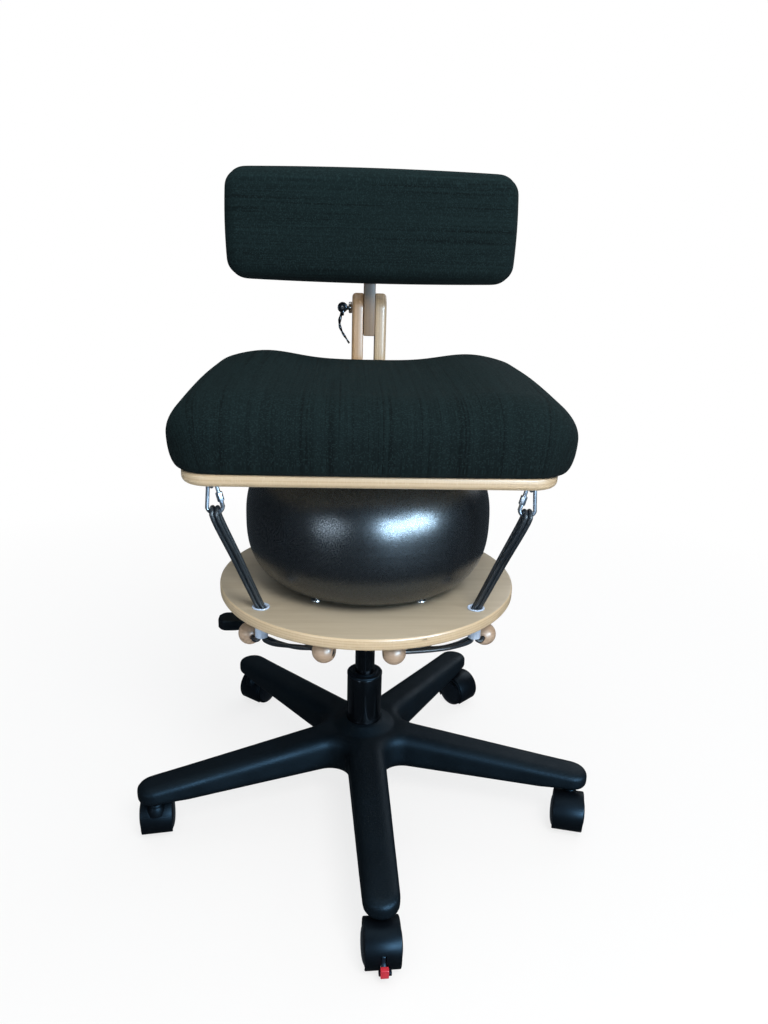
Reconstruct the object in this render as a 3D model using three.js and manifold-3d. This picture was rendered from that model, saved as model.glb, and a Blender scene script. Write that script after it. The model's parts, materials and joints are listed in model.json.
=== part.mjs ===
// Balance ball chair: a ball held by elastic cords between a plywood disc and a plywood seat,
// on a gas column with a five-legged base on twin-wheel casters, with a clamped backrest.
// Millimetres, +Z up, the sitter faces -Y, and the finished chair stands on z = 0.
import * as THREE from 'three';
import { mergeVertices } from 'three/addons/utils/BufferGeometryUtils.js';
import Module from 'manifold-3d';

const wasm = await Module();
wasm.setup();

// Clearances and cuts
const gap = 0.3; // between pieces that touch
const running = 0.5; // between pieces that move on each other
const overrun = 3; // how far a cut passes the face that it opens
const weld = 0.0001; // vertices closer than this are one
const turn = 2 * Math.PI;
const radians = THREE.MathUtils.degToRad;

// Casters: twin wheels under a full hood, on a stem that plugs into the leg
const wheel = {
  radius: 25, width: 15.7, facets: 20, treadRound: 1.6,
  capRadius: 21.5, capFlat: 12, capBulge: 3.6, axleRadius: 3,
};
const hood = {
  wall: 1.7, roomOverWheel: 0.7, webWidth: 8, endDegrees: 36, webClearance: 9,
  bossRadius: 9.5, bossTop: 57, trail: 15, sideCover: 0.6, steps: 7,
};
const stem = { radius: 5.5, collarRadius: 7.5, collarHeight: 2.4, length: 16.5 };
const brake = {
  slotWidth: 6.4, slotTop: 26, slotDepth: 11, armWidth: 5, armThick: 4.4, pivotRadius: 2.2,
  pivotInset: 10.5, pivotHeight: 21, tabWidth: 11.5, tabThick: 4.2, tabDrop: 7.4,
  shoulderOut: 2.6, shoulderHeight: 18, tabOut: 2.4, tabClearance: 9.8,
};

// Five-legged nylon base
const base = {
  legs: 5, turnDegrees: 2.7, tipRadius: 325, stemInset: 22, rootHalfWidth: 25.5, tipHalfWidth: 21,
  rootRadius: 62, underside: 58, rootTop: 109, tipTop: 82, edgeRound: 11, webFillet: 27,
  hubTop: 120, hubTopRadius: 31, hubShoulder: 7, bossRadius: 34, bossBottom: 45, wall: 4.5,
  pocketStart: 66, pocketInset: 50, pockets: 3, rib: 4, pocketWidthShare: 0.62,
};
// The way that each caster trails, in degrees about Z, as it stands in the photograph
const casters = [
  { place: 'front', trails: -87 },
  { place: 'front_right', trails: -104 },
  { place: 'back_right', trails: -47 },
  { place: 'back_left', trails: 52 },
  { place: 'front_left', trails: 99 },
];

// Gas column
const tube = { radius: 25, wall: 2.5, bottom: 50, top: 191, floor: 4, mouthRound: 1.5 };
const bush = {
  length: 52, flange: 4, flangeRound: 1.2, holeRadius: 1.3, holes: 2, neckRadius: 18.5, neckHeight: 1.6,
};
const cylinder = {
  radius: 14, boreRadius: 11, bottom: 122, top: 314, boreDepth: 162, sealDepth: 10, pinWell: 16,
};
const rod = { radius: 5, top: 193, pistonHeight: 14, pistonRing: 1.2, footRadius: 10, footHeight: 4 };
const pin = { radius: 4, length: 12, stand: 2.6 };

// Seat mechanism under the disc
const plate = {
  halfWidth: 99, halfDepth: 146, thickness: 3, flange: 22.7, chamfer: 26, notchWidth: 22, notchHeight: 16,
};
const socket = { width: 62, depth: 84, height: 52, corner: 8, slotWidth: 11, chamberRadius: 9 };
const lever = {
  radius: 4, overCylinder: 7, pivotOut: 31, innerEnd: 5, sides: 10,
  elbow: 46, knee: 70, kneeDrop: 15, shin: 98, shinDrop: 33, straightFrom: 120, reach: 170,
  drop: 38.5, forward: 20,
};
const paddle = { length: 60, width: 31, thick: 14.5, round: 9, tipOut: 203, edge: 2.6, waist: 4.5 };
const bolt = {
  halfSpacingX: 67, halfSpacingY: 90, radius: 3, headRadius: 7, headHeight: 2.6, keyRadius: 3, keyDepth: 1.6,
  below: 6,
};

// Plywood disc and the ball on it
const disc = { radius: 200, thickness: 15, top: 347, edgeRound: 2.2, facets: 60 };
const sleeve = {
  radius: 8.1, bore: 7.2, below: 25, flangeRadius: 11, flangeHeight: 1.6, mouth: 9.1, flare: 2.5,
  placeX: 135, placeY: 112.5,
};
const ball = {
  equatorRadius: 163, contactRadius: 78, wall: 3, valveRadius: 5, plugRadius: 8, plugHead: 2, plugLength: 9,
  height: 175.2, arcSteps: 10, facets: 36, fullness: 2.55,
};

// Elastic cords, their hooks and the wooden beads that stop their ends
const cord = {
  radius: 2.75, lane: 2.9, sides: 6, arcSteps: 6, lipShift: 1.2, overHook: 6.8, pastSleeve: 2, lead: 6,
};
// Places that the cords pass under the disc, on the right-hand side, as [x, y, height]
const crossRun = [
  [0, 150.8, 313.5], [40, 150.8, 312.5], [66, 151.5, 311], [88, 144.5, 308], [112, 126, 304.5],
  [126, 112.5, 303.5], [133.8, 108.8, 304.7],
];
const beadRun = [[138.7, 115.7, 304.6], [141.9, 115.6, 302.9], [145.2, 113.4, 303.3]];
const tailRun = [[131.55, -115.45, 309], [131.4, -115.9, 304], [126.5, -121, 303.2], [118, -129, 304.4]];
const tailEnds = { left: [[98, -147, 311.5]], right: [[96, -152, 311.5], [72, -164.5, 315]] };
const bead = { radius: 14.6, bore: 3.4, wellRadius: 5.6, wellDepth: 6, facets: 12, arcSteps: 6 };
const outerBead = { x: 151.6, y: 96.2, height: 303.5, turnedDegrees: 70 };
const innerBeads = {
  left: { x: -55, y: -169.5, height: 316.8, turnedDegrees: -22 },
  right: { x: 28.5, y: -173.5, height: 316.8, turnedDegrees: 186 },
};
const link = {
  wire: 2.3, eyeRoom: 1.5, placeX: 180, placeY: 150, bottom: 482, endRadius: 9.2,
  topRadius: 5.2, sides: 6, arcSteps: 5,
  openingShare: 0.5, opening: 2, nutRadius: 4.3, nutLength: 11, leanDegrees: 5,
};
const eye = { wire: 2, halfSpan: 6.5, inBoard: 9, sides: 6, arcSteps: 4 };

// Plywood seat board with its cushion
const seat = {
  halfWidth: 213.5, offset: -2.5, front: -186, rear: 188, corner: 34, thickness: 15, edgeRound: 2.4,
  cornerSteps: 3,
};
const cushion = {
  halfWidth: 234, front: -198, rear: 186, cornerRadius: 48, bottomInset: 8, topInset: 32,
  middle: 39, frontHeight: 79, rearHeight: 84, hump: 11.5, humpX: 146, humpWidth: 81, edgeDrop: 17,
  columns: 18, rows: 12, layers: 4, sideBow: 4,
};

// Backrest: two uprights, a slotted post clamped between them, a board and its pad
const timber = { thickness: 17, depth: 45 };
const upright = {
  front: 212, top: 712, offset: 2.5, armLength: 72, heel: 40, armHeight: 29, innerFillet: 24, tip: 9,
  arcSteps: 4,
};
const spacer = { length: 40, edge: 2 };
const post = {
  bottom: 650, length: 220, ahead: 3, raise: 25, lower: 45, spare: 2, taper: 12, arcSteps: 5,
};
const backBoard = {
  halfWidth: 194, bottom: 740, height: 134, thickness: 11, corner: 26, edge: 1, cornerSteps: 3,
};
const pad = {
  halfWidth: 207.5, bottom: 728, top: 883, thickness: 50, cornerRadius: 27, frontInset: 17, backInset: 8,
  middle: 22, crown: 5, columns: 18, rows: 8, layers: 4, sideBow: 3.5,
};
const clamp = {
  height: 690, rodRadius: 3.9, nutRadius: 8, nutLength: 6.5, washerRadius: 8.5, washerLength: 5,
  yokeRadius: 6.6, yokeLength: 9, yokeWidth: 9, pivotOut: 9.5, pivotPinRadius: 2.4, pivotPinLength: 15,
};
const cam = {
  ringRadius: 7.6, cheek: 2.2, lap: 1, armThick: 4.6, armWidth: 8,
  bulge: 5.4, length: 55, tipShift: 3.6, tipWidth: 3, sides: 6, steps: 8,
};

// Heights and places that follow from the sizes
const stemRadius = base.tipRadius - base.stemInset;
const wheelHeight = wheel.radius * Math.cos(Math.PI / wheel.facets);
const leverHeight = cylinder.top + lever.overCylinder;
const wheelInner = hood.webWidth / 2 + running;
const wheelOuter = wheelInner + wheel.width;
const hoodInner = wheel.radius + hood.roomOverWheel;
const hoodRadius = hoodInner + hood.wall;
const hoodHalfWidth = wheelOuter + hood.sideCover;
const discBottom = disc.top - disc.thickness;
const ballBottom = disc.top + gap;
const ballTop = ballBottom + ball.height - gap;
const ballMiddle = (ballBottom + ballTop) / 2;
const seatBottom = ballBottom + ball.height;
const seatTop = seatBottom + seat.thickness;
const plateTop = discBottom - gap;
const clampY = upright.front + timber.depth / 2;
const uprightInner = timber.thickness / 2 + running;
const uprightOuter = uprightInner + timber.thickness;
const backBoardRear = upright.front - post.ahead - gap;
const padRear = backBoardRear - backBoard.thickness - gap;

const finish = {
  nylon: new THREE.MeshStandardMaterial({ color: 0x1b1e20, roughness: 0.62, metalness: 0 }),
  plastic: new THREE.MeshStandardMaterial({ color: 0x17191c, roughness: 0.45, metalness: 0 }),
  capGloss: new THREE.MeshStandardMaterial({ color: 0x101113, roughness: 0.2, metalness: 0 }),
  redTab: new THREE.MeshStandardMaterial({ color: 0xc2303a, roughness: 0.45, metalness: 0 }),
  columnBlack: new THREE.MeshStandardMaterial({ color: 0x121416, roughness: 0.25, metalness: 0.3 }),
  steel: new THREE.MeshStandardMaterial({ color: 0xaab0b6, roughness: 0.3, metalness: 1 }),
  plateSteel: new THREE.MeshStandardMaterial({ color: 0x4a5361, roughness: 0.45, metalness: 0.6 }),
  birch: new THREE.MeshStandardMaterial({ color: 0xd6bb92, roughness: 0.5, metalness: 0 }),
  beech: new THREE.MeshStandardMaterial({ color: 0xd7ab82, roughness: 0.5, metalness: 0 }),
  ballSkin: new THREE.MeshStandardMaterial({ color: 0x2b2d33, roughness: 0.3, metalness: 0.2 }),
  whitePlastic: new THREE.MeshStandardMaterial({ color: 0xd7e2f0, roughness: 0.4, metalness: 0 }),
  elastic: new THREE.MeshStandardMaterial({ color: 0x1d2630, roughness: 0.8, metalness: 0 }),
  fabric: new THREE.MeshStandardMaterial({ color: 0x14302f, roughness: 0.95, metalness: 0 }),
};

// Solids and booleans

function solid(geometry) {
  const bare = geometry.clone();
  bare.deleteAttribute('normal');
  bare.deleteAttribute('uv');
  const merged = mergeVertices(bare, weld);
  const mesh = new wasm.Mesh({
    numProp: 3,
    vertProperties: new Float32Array(merged.attributes.position.array),
    triVerts: new Uint32Array(merged.index.array),
  });
  return new wasm.Manifold(mesh);
}

function geometryOf(body) {
  const mesh = body.getMesh();
  const geometry = new THREE.BufferGeometry();
  geometry.setAttribute('position', new THREE.BufferAttribute(new Float32Array(mesh.vertProperties), 3));
  geometry.setIndex(new THREE.BufferAttribute(new Uint32Array(mesh.triVerts), 1));
  geometry.computeVertexNormals();
  return geometry;
}

function joined(first, ...others) {
  return geometryOf(others.reduce((body, other) => body.add(solid(other)), solid(first)));
}

function cut(first, ...tools) {
  return geometryOf(tools.reduce((body, tool) => body.subtract(solid(tool)), solid(first)));
}

// Simple shapes, placed as they are made

function box(x0, x1, y0, y1, z0, z1) {
  const block = new THREE.BoxGeometry(x1 - x0, y1 - y0, z1 - z0);
  return block.translate((x0 + x1) / 2, (y0 + y1) / 2, (z0 + z1) / 2);
}

function rod3(radius, z0, z1, x = 0, y = 0, sides = 24) {
  const shape = new THREE.CylinderGeometry(radius, radius, z1 - z0, sides);
  return shape.rotateX(Math.PI / 2).translate(x, y, (z0 + z1) / 2);
}

function barX(radius, x0, x1, y, z, sides = 20) {
  const shape = new THREE.CylinderGeometry(radius, radius, x1 - x0, sides);
  return shape.rotateZ(Math.PI / 2).translate((x0 + x1) / 2, y, z);
}

function barY(radius, y0, y1, x, z, sides = 20) {
  return new THREE.CylinderGeometry(radius, radius, y1 - y0, sides).translate(x, (y0 + y1) / 2, z);
}

// Turned about Z: the profile is a list of [radius, height]
function turned(profile, facets = 32) {
  const points = profile.map(([r, z]) => new THREE.Vector2(r, z));
  return new THREE.LatheGeometry(points, facets).rotateX(Math.PI / 2);
}

// A curve whose steps follow its own points, so that bends get as many steps as points
class Route extends THREE.CatmullRomCurve3 {
  getUtoTmapping(u) {
    return u;
  }
}

function sweep(points, radius, sides, stepsPerPoint = 1) {
  const route = new Route(points.map((p) => new THREE.Vector3(...p)), false, 'centripetal');
  const section = new THREE.Shape();
  for (let i = 0; i < sides; i += 1) {
    const angle = (turn * (i + 1 / 2)) / sides;
    const [x, y] = [radius * Math.cos(angle), radius * Math.sin(angle)];
    if (i === 0) section.moveTo(x, y);
    else section.lineTo(x, y);
  }
  section.closePath();
  const steps = (points.length - 1) * stepsPerPoint;
  return new THREE.ExtrudeGeometry(section, { steps, extrudePath: route, bevelEnabled: false });
}

// Moves each vertex of a shape by a rule
function reshaped(geometry, rule) {
  const places = geometry.attributes.position;
  const point = new THREE.Vector3();
  for (let i = 0; i < places.count; i += 1) {
    point.fromBufferAttribute(places, i);
    rule(point);
    places.setXYZ(i, point.x, point.y, point.z);
  }
  return geometry;
}

function roundedOutline(x0, x1, y0, y1, r) {
  const outline = new THREE.Shape();
  outline.absarc(x1 - r, y1 - r, r, 0, turn / 4);
  outline.absarc(x0 + r, y1 - r, r, turn / 4, turn / 2);
  outline.absarc(x0 + r, y0 + r, r, turn / 2, (3 * turn) / 4);
  outline.absarc(x1 - r, y0 + r, r, (3 * turn) / 4, turn);
  return outline;
}

// A board with eased edges, standing from z = 0 to its thickness
function board(outline, thickness, edge, curveSegments) {
  const easing = {
    depth: thickness - 2 * edge, bevelEnabled: edge > 0, bevelThickness: edge, bevelSize: edge,
    bevelOffset: -edge, bevelSegments: 2, curveSegments,
  };
  return new THREE.ExtrudeGeometry(outline, easing).translate(0, 0, edge);
}

// A board cut in the YZ plane, as thick as it is along X, from x0
function standingBoard(outline, x0, thickness, edge, curveSegments) {
  const flat = board(outline, thickness, edge, curveSegments);
  const upright3 = new THREE.Matrix4().makeBasis(
    new THREE.Vector3(0, 1, 0), new THREE.Vector3(0, 0, 1), new THREE.Vector3(1, 0, 0),
  );
  return flat.applyMatrix4(upright3).translate(x0, 0, 0);
}

// A cushion lying flat: crowned top, sides that swell and draw in, bottom at z = 0
function cushionForm(c, x0, x1, y0, y1, topAt) {
  const [halfX, halfY] = [(x1 - x0) / 2, (y1 - y0) / 2];
  const block = new THREE.BoxGeometry(2, 2, 2, c.columns, c.rows, c.layers);
  const crowd = (share) => Math.sign(share) * (1 - (1 - Math.abs(share)) ** 1.45);
  reshaped(block, (p) => {
    const [u, v] = [crowd(p.x), crowd(p.y)];
    const ring = Math.max(Math.abs(u), Math.abs(v));
    const level = p.z * (turn / 4);
    const inset = (p.z > 0 ? c.topInset : c.bottomInset) * (1 - Math.cos(level));
    const bow = c.sideBow * Math.cos(level);
    const [a, b] = [halfX - inset - c.sideBow + bow, halfY - inset - c.sideBow + bow];
    const r = Math.max(c.cornerRadius - inset, c.cornerRadius / 3) * ring;
    const x = u * a;
    const y = v * b;
    const cx = THREE.MathUtils.clamp(x, -(a * ring - r), a * ring - r);
    const cy = THREE.MathUtils.clamp(y, -(b * ring - r), b * ring - r);
    const [dx, dy] = [x - cx, y - cy];
    const reach = Math.max(Math.hypot(dx, dy), 1e-9);
    const full = Math.max(Math.abs(dx), Math.abs(dy));
    p.x = cx + (dx / reach) * full;
    p.y = cy + (dy / reach) * full;
    p.x *= 1 - (c.sideBow / halfX) * v * v * ring ** 4;
    p.y *= 1 - (c.sideBow / halfY) * u * u * ring ** 4;
    const top = topAt(p.x / halfX, p.y / halfY);
    p.z = p.z > 0 ? c.middle + (top - c.middle) * Math.sin(level) : c.middle * (1 + Math.sin(level));
  });
  return block.translate((x0 + x1) / 2, (y0 + y1) / 2, 0);
}

// Base and casters

// One outline for the five legs: round tips, and arcs that fill the corners between them
function starOutline() {
  const outline = new THREE.Shape();
  const step = turn / base.legs;
  const slant = (base.rootHalfWidth - base.tipHalfWidth) / (base.tipRadius - base.rootRadius);
  const wide = base.rootHalfWidth + slant * base.rootRadius;
  const edgeAngle = step / 2 + Math.atan(slant);
  const centre = (wide * Math.cos(Math.atan(slant)) + base.webFillet) / Math.sin(edgeAngle);
  const tipCentre = base.tipRadius - base.tipHalfWidth;
  for (let k = 0; k < base.legs; k += 1) {
    const along = k * step;
    outline.absarc(
      tipCentre * Math.cos(along), tipCentre * Math.sin(along), base.tipHalfWidth,
      along - turn / 4 + slant, along + turn / 4 - slant, false,
    );
    const middle = along + step / 2;
    const spread = turn / 4 - edgeAngle;
    outline.absarc(
      centre * Math.cos(middle), centre * Math.sin(middle), base.webFillet,
      middle + turn / 2 + spread, middle + turn / 2 - spread, true,
    );
  }
  return outline;
}

function legTop(radius) {
  const share = (radius - base.rootRadius) / (base.tipRadius - base.rootRadius);
  return THREE.MathUtils.lerp(base.rootTop, base.tipTop, Math.max(share, 0));
}

function baseStar() {
  const height = base.rootTop - base.underside;
  const star = board(starOutline(), height, base.edgeRound, 4);
  reshaped(star, (p) => {
    const share = p.z / height;
    p.z = base.underside + share * (legTop(Math.hypot(p.x, p.y)) - base.underside);
  });
  const hub = turned([
    [0, base.bossBottom], [base.bossRadius, base.bossBottom],
    [base.bossRadius, base.underside + base.edgeRound], [base.rootRadius, base.rootTop - base.hubShoulder],
    [base.hubTopRadius + base.hubShoulder, base.hubTop - base.hubShoulder],
    [base.hubTopRadius, base.hubTop], [0, base.hubTop],
  ], 30);
  const tools = [rod3(tube.radius + gap, base.bossBottom - overrun, base.hubTop + overrun, 0, 0, 28)];
  const pocketEnd = base.tipRadius - base.pocketInset;
  const pocketLength = (pocketEnd - base.pocketStart) / base.pockets;
  for (let k = 0; k < base.legs; k += 1) {
    const along = (k * turn) / base.legs;
    const stemHole = rod3(
      stem.radius + gap, base.underside - overrun, base.hubTop, stemRadius, 0, 12,
    );
    const stemRoom = box(
      stemRadius - base.tipHalfWidth, base.tipRadius, -base.tipHalfWidth, base.tipHalfWidth,
      hood.bossTop + stem.length + gap, base.hubTop + overrun,
    );
    tools.push(cut(stemHole, stemRoom).rotateZ(along));
    for (let i = 0; i < base.pockets; i += 1) {
      const start = base.pocketStart + i * pocketLength;
      const end = start + pocketLength - base.rib;
      const half = base.tipHalfWidth * base.pocketWidthShare;
      const roof = legTop(end) - base.wall;
      tools.push(box(start, end, -half, half, base.underside - overrun, roof).rotateZ(along));
    }
  }
  return cut(joined(star, hub), ...tools);
}

// A caster stands at its stem, and its wheels trail along +X
function casterHood(withBrake) {
  const [start, end] = [-radians(hood.endDegrees), turn / 2 + radians(hood.endDegrees)];
  const arc = new THREE.Shape();
  arc.absarc(0, 0, hoodRadius, start, end, false);
  arc.absarc(0, 0, hoodInner, end, start, true);
  const fender = new THREE.ExtrudeGeometry(arc, {
    depth: 2 * hoodHalfWidth, bevelEnabled: false, curveSegments: hood.steps,
  });
  fender.translate(0, 0, -hoodHalfWidth).rotateX(Math.PI / 2).translate(hood.trail, 0, wheelHeight);
  const half = hood.webWidth / 2;
  const web = barY(hoodInner + hood.wall / 2, -half, half, hood.trail, wheelHeight, 24);
  const bossTop = hood.bossTop - stem.collarHeight - gap;
  const boss = rod3(hood.bossRadius, wheelHeight + hoodInner / 2, bossTop, 0, 0, 16);
  const bossInside = barY(hoodInner + gap, -hoodHalfWidth, hoodHalfWidth, hood.trail, wheelHeight, 24);
  const pinShape = turned([
    [0, wheelHeight + hoodInner], [stem.collarRadius, wheelHeight + hoodInner],
    [stem.collarRadius, hood.bossTop - gap], [stem.radius, hood.bossTop - gap],
    [stem.radius, hood.bossTop + stem.length - stem.radius / 4],
    [stem.radius * 0.75, hood.bossTop + stem.length], [0, hood.bossTop + stem.length],
  ], 12);
  const bossShell = cut(boss, bossInside);
  const reach = hoodRadius + overrun;
  const tools = [
    box(hood.trail - reach, hood.trail + reach, -hoodHalfWidth, hoodHalfWidth, -overrun, hood.webClearance),
    barY(wheel.axleRadius + gap, -hood.webWidth, hood.webWidth, hood.trail, wheelHeight, 16),
  ];
  if (withBrake) {
    const face = hood.trail + hoodRadius;
    const side = brake.slotWidth / 2;
    const pivotX = face - brake.pivotInset;
    tools.push(box(face - brake.slotDepth, face + overrun, -side, side, -overrun, brake.slotTop));
    tools.push(barY(brake.pivotRadius + gap, -hood.webWidth, hood.webWidth, pivotX, brake.pivotHeight, 12));
    tools.push(box(
      face - brake.slotDepth - brake.pivotRadius * 2, face + overrun, -side, side, -overrun,
      brake.pivotHeight + brake.pivotRadius * 2,
    ));
  }
  return cut(joined(web, fender, bossShell, pinShape), ...tools);
}

function casterWheels() {
  const half = [
    [wheel.axleRadius, wheelInner], [wheel.radius, wheelInner], [wheel.radius, wheelOuter - wheel.treadRound],
    [wheel.capRadius, wheelOuter], [wheel.capFlat, wheelOuter + wheel.capBulge],
    [0, wheelOuter + wheel.capBulge],
  ];
  const otherHalf = half.map(([r, y]) => [r, -y]).reverse();
  const pair = new THREE.LatheGeometry(
    [...otherHalf, ...half].map(([r, y]) => new THREE.Vector2(r, y)), wheel.facets,
  );
  return pair.rotateY(turn / wheel.facets / 2).translate(hood.trail, 0, wheelHeight);
}

function brakePedal() {
  const face = hood.trail + hoodRadius;
  const pivotX = face - brake.pivotInset;
  const outline = new THREE.Shape();
  const low = brake.tabClearance;
  const tabEnd = face + brake.tabOut;
  const eyeRadius = (brake.armThick + brake.pivotRadius) / 2;
  outline.absarc(pivotX, brake.pivotHeight, eyeRadius, turn / 4, (3 * turn) / 4, false);
  outline.lineTo(face - brake.armThick, brake.shoulderHeight - brake.armThick);
  outline.lineTo(tabEnd - brake.tabThick, low);
  outline.lineTo(tabEnd, low);
  outline.lineTo(tabEnd, low + brake.tabDrop);
  outline.lineTo(face + brake.shoulderOut, brake.shoulderHeight);
  outline.lineTo(face - brake.shoulderOut, brake.pivotHeight + brake.armThick / 2);
  outline.closePath();
  const arm = new THREE.ExtrudeGeometry(outline, {
    depth: brake.armWidth, bevelEnabled: false, curveSegments: 6,
  });
  arm.translate(0, 0, -brake.armWidth / 2).rotateX(Math.PI / 2);
  const tab = box(
    face - brake.tabThick / 2, tabEnd + brake.tabThick / 2, -brake.tabWidth / 2, brake.tabWidth / 2,
    low, low + brake.tabDrop,
  );
  const clear = barY(hoodRadius + running, -brake.tabWidth, brake.tabWidth, hood.trail, wheelHeight, 40);
  const trimmedTab = cut(tab, clear);
  const axle = barY(brake.pivotRadius, -hood.webWidth / 2, hood.webWidth / 2, pivotX, brake.pivotHeight, 12);
  return joined(arm, trimmedTab, axle);
}

// Column

function outerTube() {
  const inner = tube.radius - tube.wall;
  return turned([
    [rod.radius + running, tube.bottom], [tube.radius - tube.mouthRound, tube.bottom],
    [tube.radius, tube.bottom + tube.mouthRound], [tube.radius, tube.top], [inner, tube.top],
    [inner, tube.bottom + tube.floor], [rod.radius + running, tube.bottom + tube.floor],
    [rod.radius + running, tube.bottom],
  ], 30);
}

function guideBush() {
  const inner = cylinder.radius + running;
  const outer = tube.radius - tube.wall - gap;
  const top = tube.top + gap + bush.flange;
  const body = turned([
    [inner, tube.top - bush.length], [outer, tube.top - bush.length], [outer, tube.top + gap],
    [tube.radius, tube.top + gap], [tube.radius, top - bush.flangeRound],
    [tube.radius - bush.flangeRound, top], [bush.neckRadius, top], [bush.neckRadius, top + bush.neckHeight],
    [inner, top + bush.neckHeight], [inner, tube.top - bush.length],
  ], 28);
  const holeAt = (bush.neckRadius + tube.radius) / 2;
  const tools = [];
  for (let i = 0; i < bush.holes; i += 1) {
    const hole = rod3(bush.holeRadius, top - bush.flange / 2, top + overrun, holeAt, 0, 8);
    tools.push(hole.rotateZ((i * turn) / bush.holes));
  }
  return cut(body, ...tools);
}

function gasCylinder() {
  const seal = rod.radius + running;
  const boreTop = cylinder.bottom + cylinder.boreDepth;
  return cut(
    turned([
      [seal, cylinder.bottom], [cylinder.radius, cylinder.bottom], [cylinder.radius, cylinder.top],
      [0, cylinder.top], [0, boreTop], [cylinder.boreRadius, boreTop],
      [cylinder.boreRadius, cylinder.bottom + cylinder.sealDepth],
      [seal, cylinder.bottom + cylinder.sealDepth], [seal, cylinder.bottom],
    ], 28),
    rod3(pin.radius + running, cylinder.top - cylinder.pinWell, cylinder.top + overrun, 0, 0, 16),
  );
}

function pistonRod() {
  const head = cylinder.boreRadius - running;
  return turned([
    [0, tube.bottom - rod.footHeight], [rod.radius - gap, tube.bottom - rod.footHeight],
    [rod.radius - gap, tube.bottom + tube.floor + gap], [rod.footRadius, tube.bottom + tube.floor + gap],
    [rod.footRadius, tube.bottom + tube.floor + gap + rod.footHeight],
    [rod.radius, tube.bottom + tube.floor + gap + rod.footHeight], [rod.radius, rod.top - rod.pistonHeight],
    [head, rod.top - rod.pistonHeight + rod.pistonRing], [head, rod.top], [0, rod.top],
  ], 20);
}

function releasePin() {
  const top = cylinder.top + pin.stand;
  return turned([
    [0, top - pin.length], [pin.radius, top - pin.length], [pin.radius, top - pin.radius / 4],
    [pin.radius * 0.75, top], [0, top],
  ], 14);
}

// Mechanism

function plateOutline(inset) {
  const [a, b, c] = [plate.halfWidth - inset, plate.halfDepth - inset, plate.chamfer - inset / 2];
  const outline = new THREE.Shape();
  outline.moveTo(a - c, -b);
  [[a, c - b], [a, b - c], [a - c, b], [c - a, b], [-a, b - c], [-a, c - b], [c - a, -b]]
    .forEach(([x, y]) => outline.lineTo(x, y));
  outline.closePath();
  return outline;
}

function mechanismPlate() {
  const body = board(plateOutline(0), plate.flange, 0, 1).translate(0, 0, plateTop - plate.flange);
  const hollow = board(plateOutline(plate.thickness), plate.flange, 0, 1);
  hollow.translate(0, 0, plateTop - plate.flange - plate.thickness);
  const notch = box(
    -plate.halfWidth - overrun, -plate.halfWidth + overrun * 2, -lever.forward / 2 - plate.notchWidth / 2,
    -lever.forward / 2 + plate.notchWidth / 2, plateTop - plate.flange - overrun,
    plateTop - plate.flange + plate.notchHeight,
  );
  const holes = boltPlaces().map(([x, y]) => (
    rod3(bolt.radius + gap, plateTop - plate.thickness - overrun, discBottom, x, y, 12)
  ));
  return cut(body, hollow, notch, ...holes);
}

function boltPlaces() {
  const [x, y] = [bolt.halfSpacingX, bolt.halfSpacingY];
  return [[-x, -y], [x, -y], [x, y], [-x, y]];
}

function mechanismSocket() {
  const top = plateTop - plate.thickness - gap;
  const outline = roundedOutline(
    -socket.width / 2, socket.width / 2, -socket.depth / 2, socket.depth / 2, socket.corner,
  );
  const body = board(outline, socket.height, 0, 3).translate(0, 0, top - socket.height);
  const slotTop = leverHeight + lever.radius + running * 3;
  return cut(
    body,
    rod3(cylinder.radius + gap, top - socket.height - overrun, cylinder.top + gap, 0, 0, 28),
    rod3(socket.chamberRadius, cylinder.top - overrun, slotTop, 0, 0, 20),
    box(
      -socket.width / 2 - overrun, 0, -socket.slotWidth / 2, socket.slotWidth / 2,
      leverHeight - lever.radius - socket.height / 4, slotTop,
    ),
  );
}

function leverRod() {
  const z = leverHeight;
  const points = [
    [lever.innerEnd, 0, z], [-lever.pivotOut, 0, z], [-lever.elbow, 0, z - lever.radius / 2],
    [-lever.knee, -lever.forward / 4, z - lever.kneeDrop],
    [-lever.shin, -lever.forward * 0.7, z - lever.shinDrop],
    [-lever.straightFrom, -lever.forward, z - lever.drop],
    [-(lever.straightFrom + lever.reach) / 2, -lever.forward, z - lever.drop],
    [-lever.reach, -lever.forward, z - lever.drop],
  ];
  return sweep(points, lever.radius, lever.sides);
}

function leverPaddle() {
  const [out, root] = [-paddle.tipOut, -paddle.tipOut + paddle.length];
  const y = -lever.forward;
  const outline = roundedOutline(out, root, y - paddle.width / 2, y + paddle.width / 2, paddle.round);
  const z = leverHeight - lever.drop;
  const body = board(outline, paddle.thick, paddle.edge, 3).translate(0, 0, z - paddle.thick / 2);
  const waist = rod3(
    paddle.width / 3, z - paddle.thick, z + paddle.thick, root - paddle.width / 2,
    y - paddle.width / 2 - paddle.width / 3 + paddle.waist, 16,
  );
  const bore = barX(lever.radius + gap, -lever.reach - gap, root + overrun, y, z, 16);
  return cut(body, waist, bore);
}

function plateBolt(x, y) {
  const top = disc.top + gap + bolt.headHeight;
  const body = turned([
    [0, plateTop - plate.thickness - bolt.below], [bolt.radius, plateTop - plate.thickness - bolt.below],
    [bolt.radius, disc.top + gap], [bolt.headRadius, disc.top + gap],
    [bolt.headRadius, disc.top + gap + bolt.headHeight / 3], [bolt.headRadius * 0.6, top], [0, top],
  ], 12);
  return cut(body, rod3(bolt.keyRadius, top - bolt.keyDepth, top + overrun, 0, 0, 6)).translate(x, y, 0);
}

// Disc, sleeves and ball

function eachCorner(make) {
  [['front_left', -1, -1], ['front_right', 1, -1], ['rear_left', -1, 1], ['rear_right', 1, 1]]
    .forEach(([name, sx, sy]) => make(name, sx, sy));
}

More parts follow.
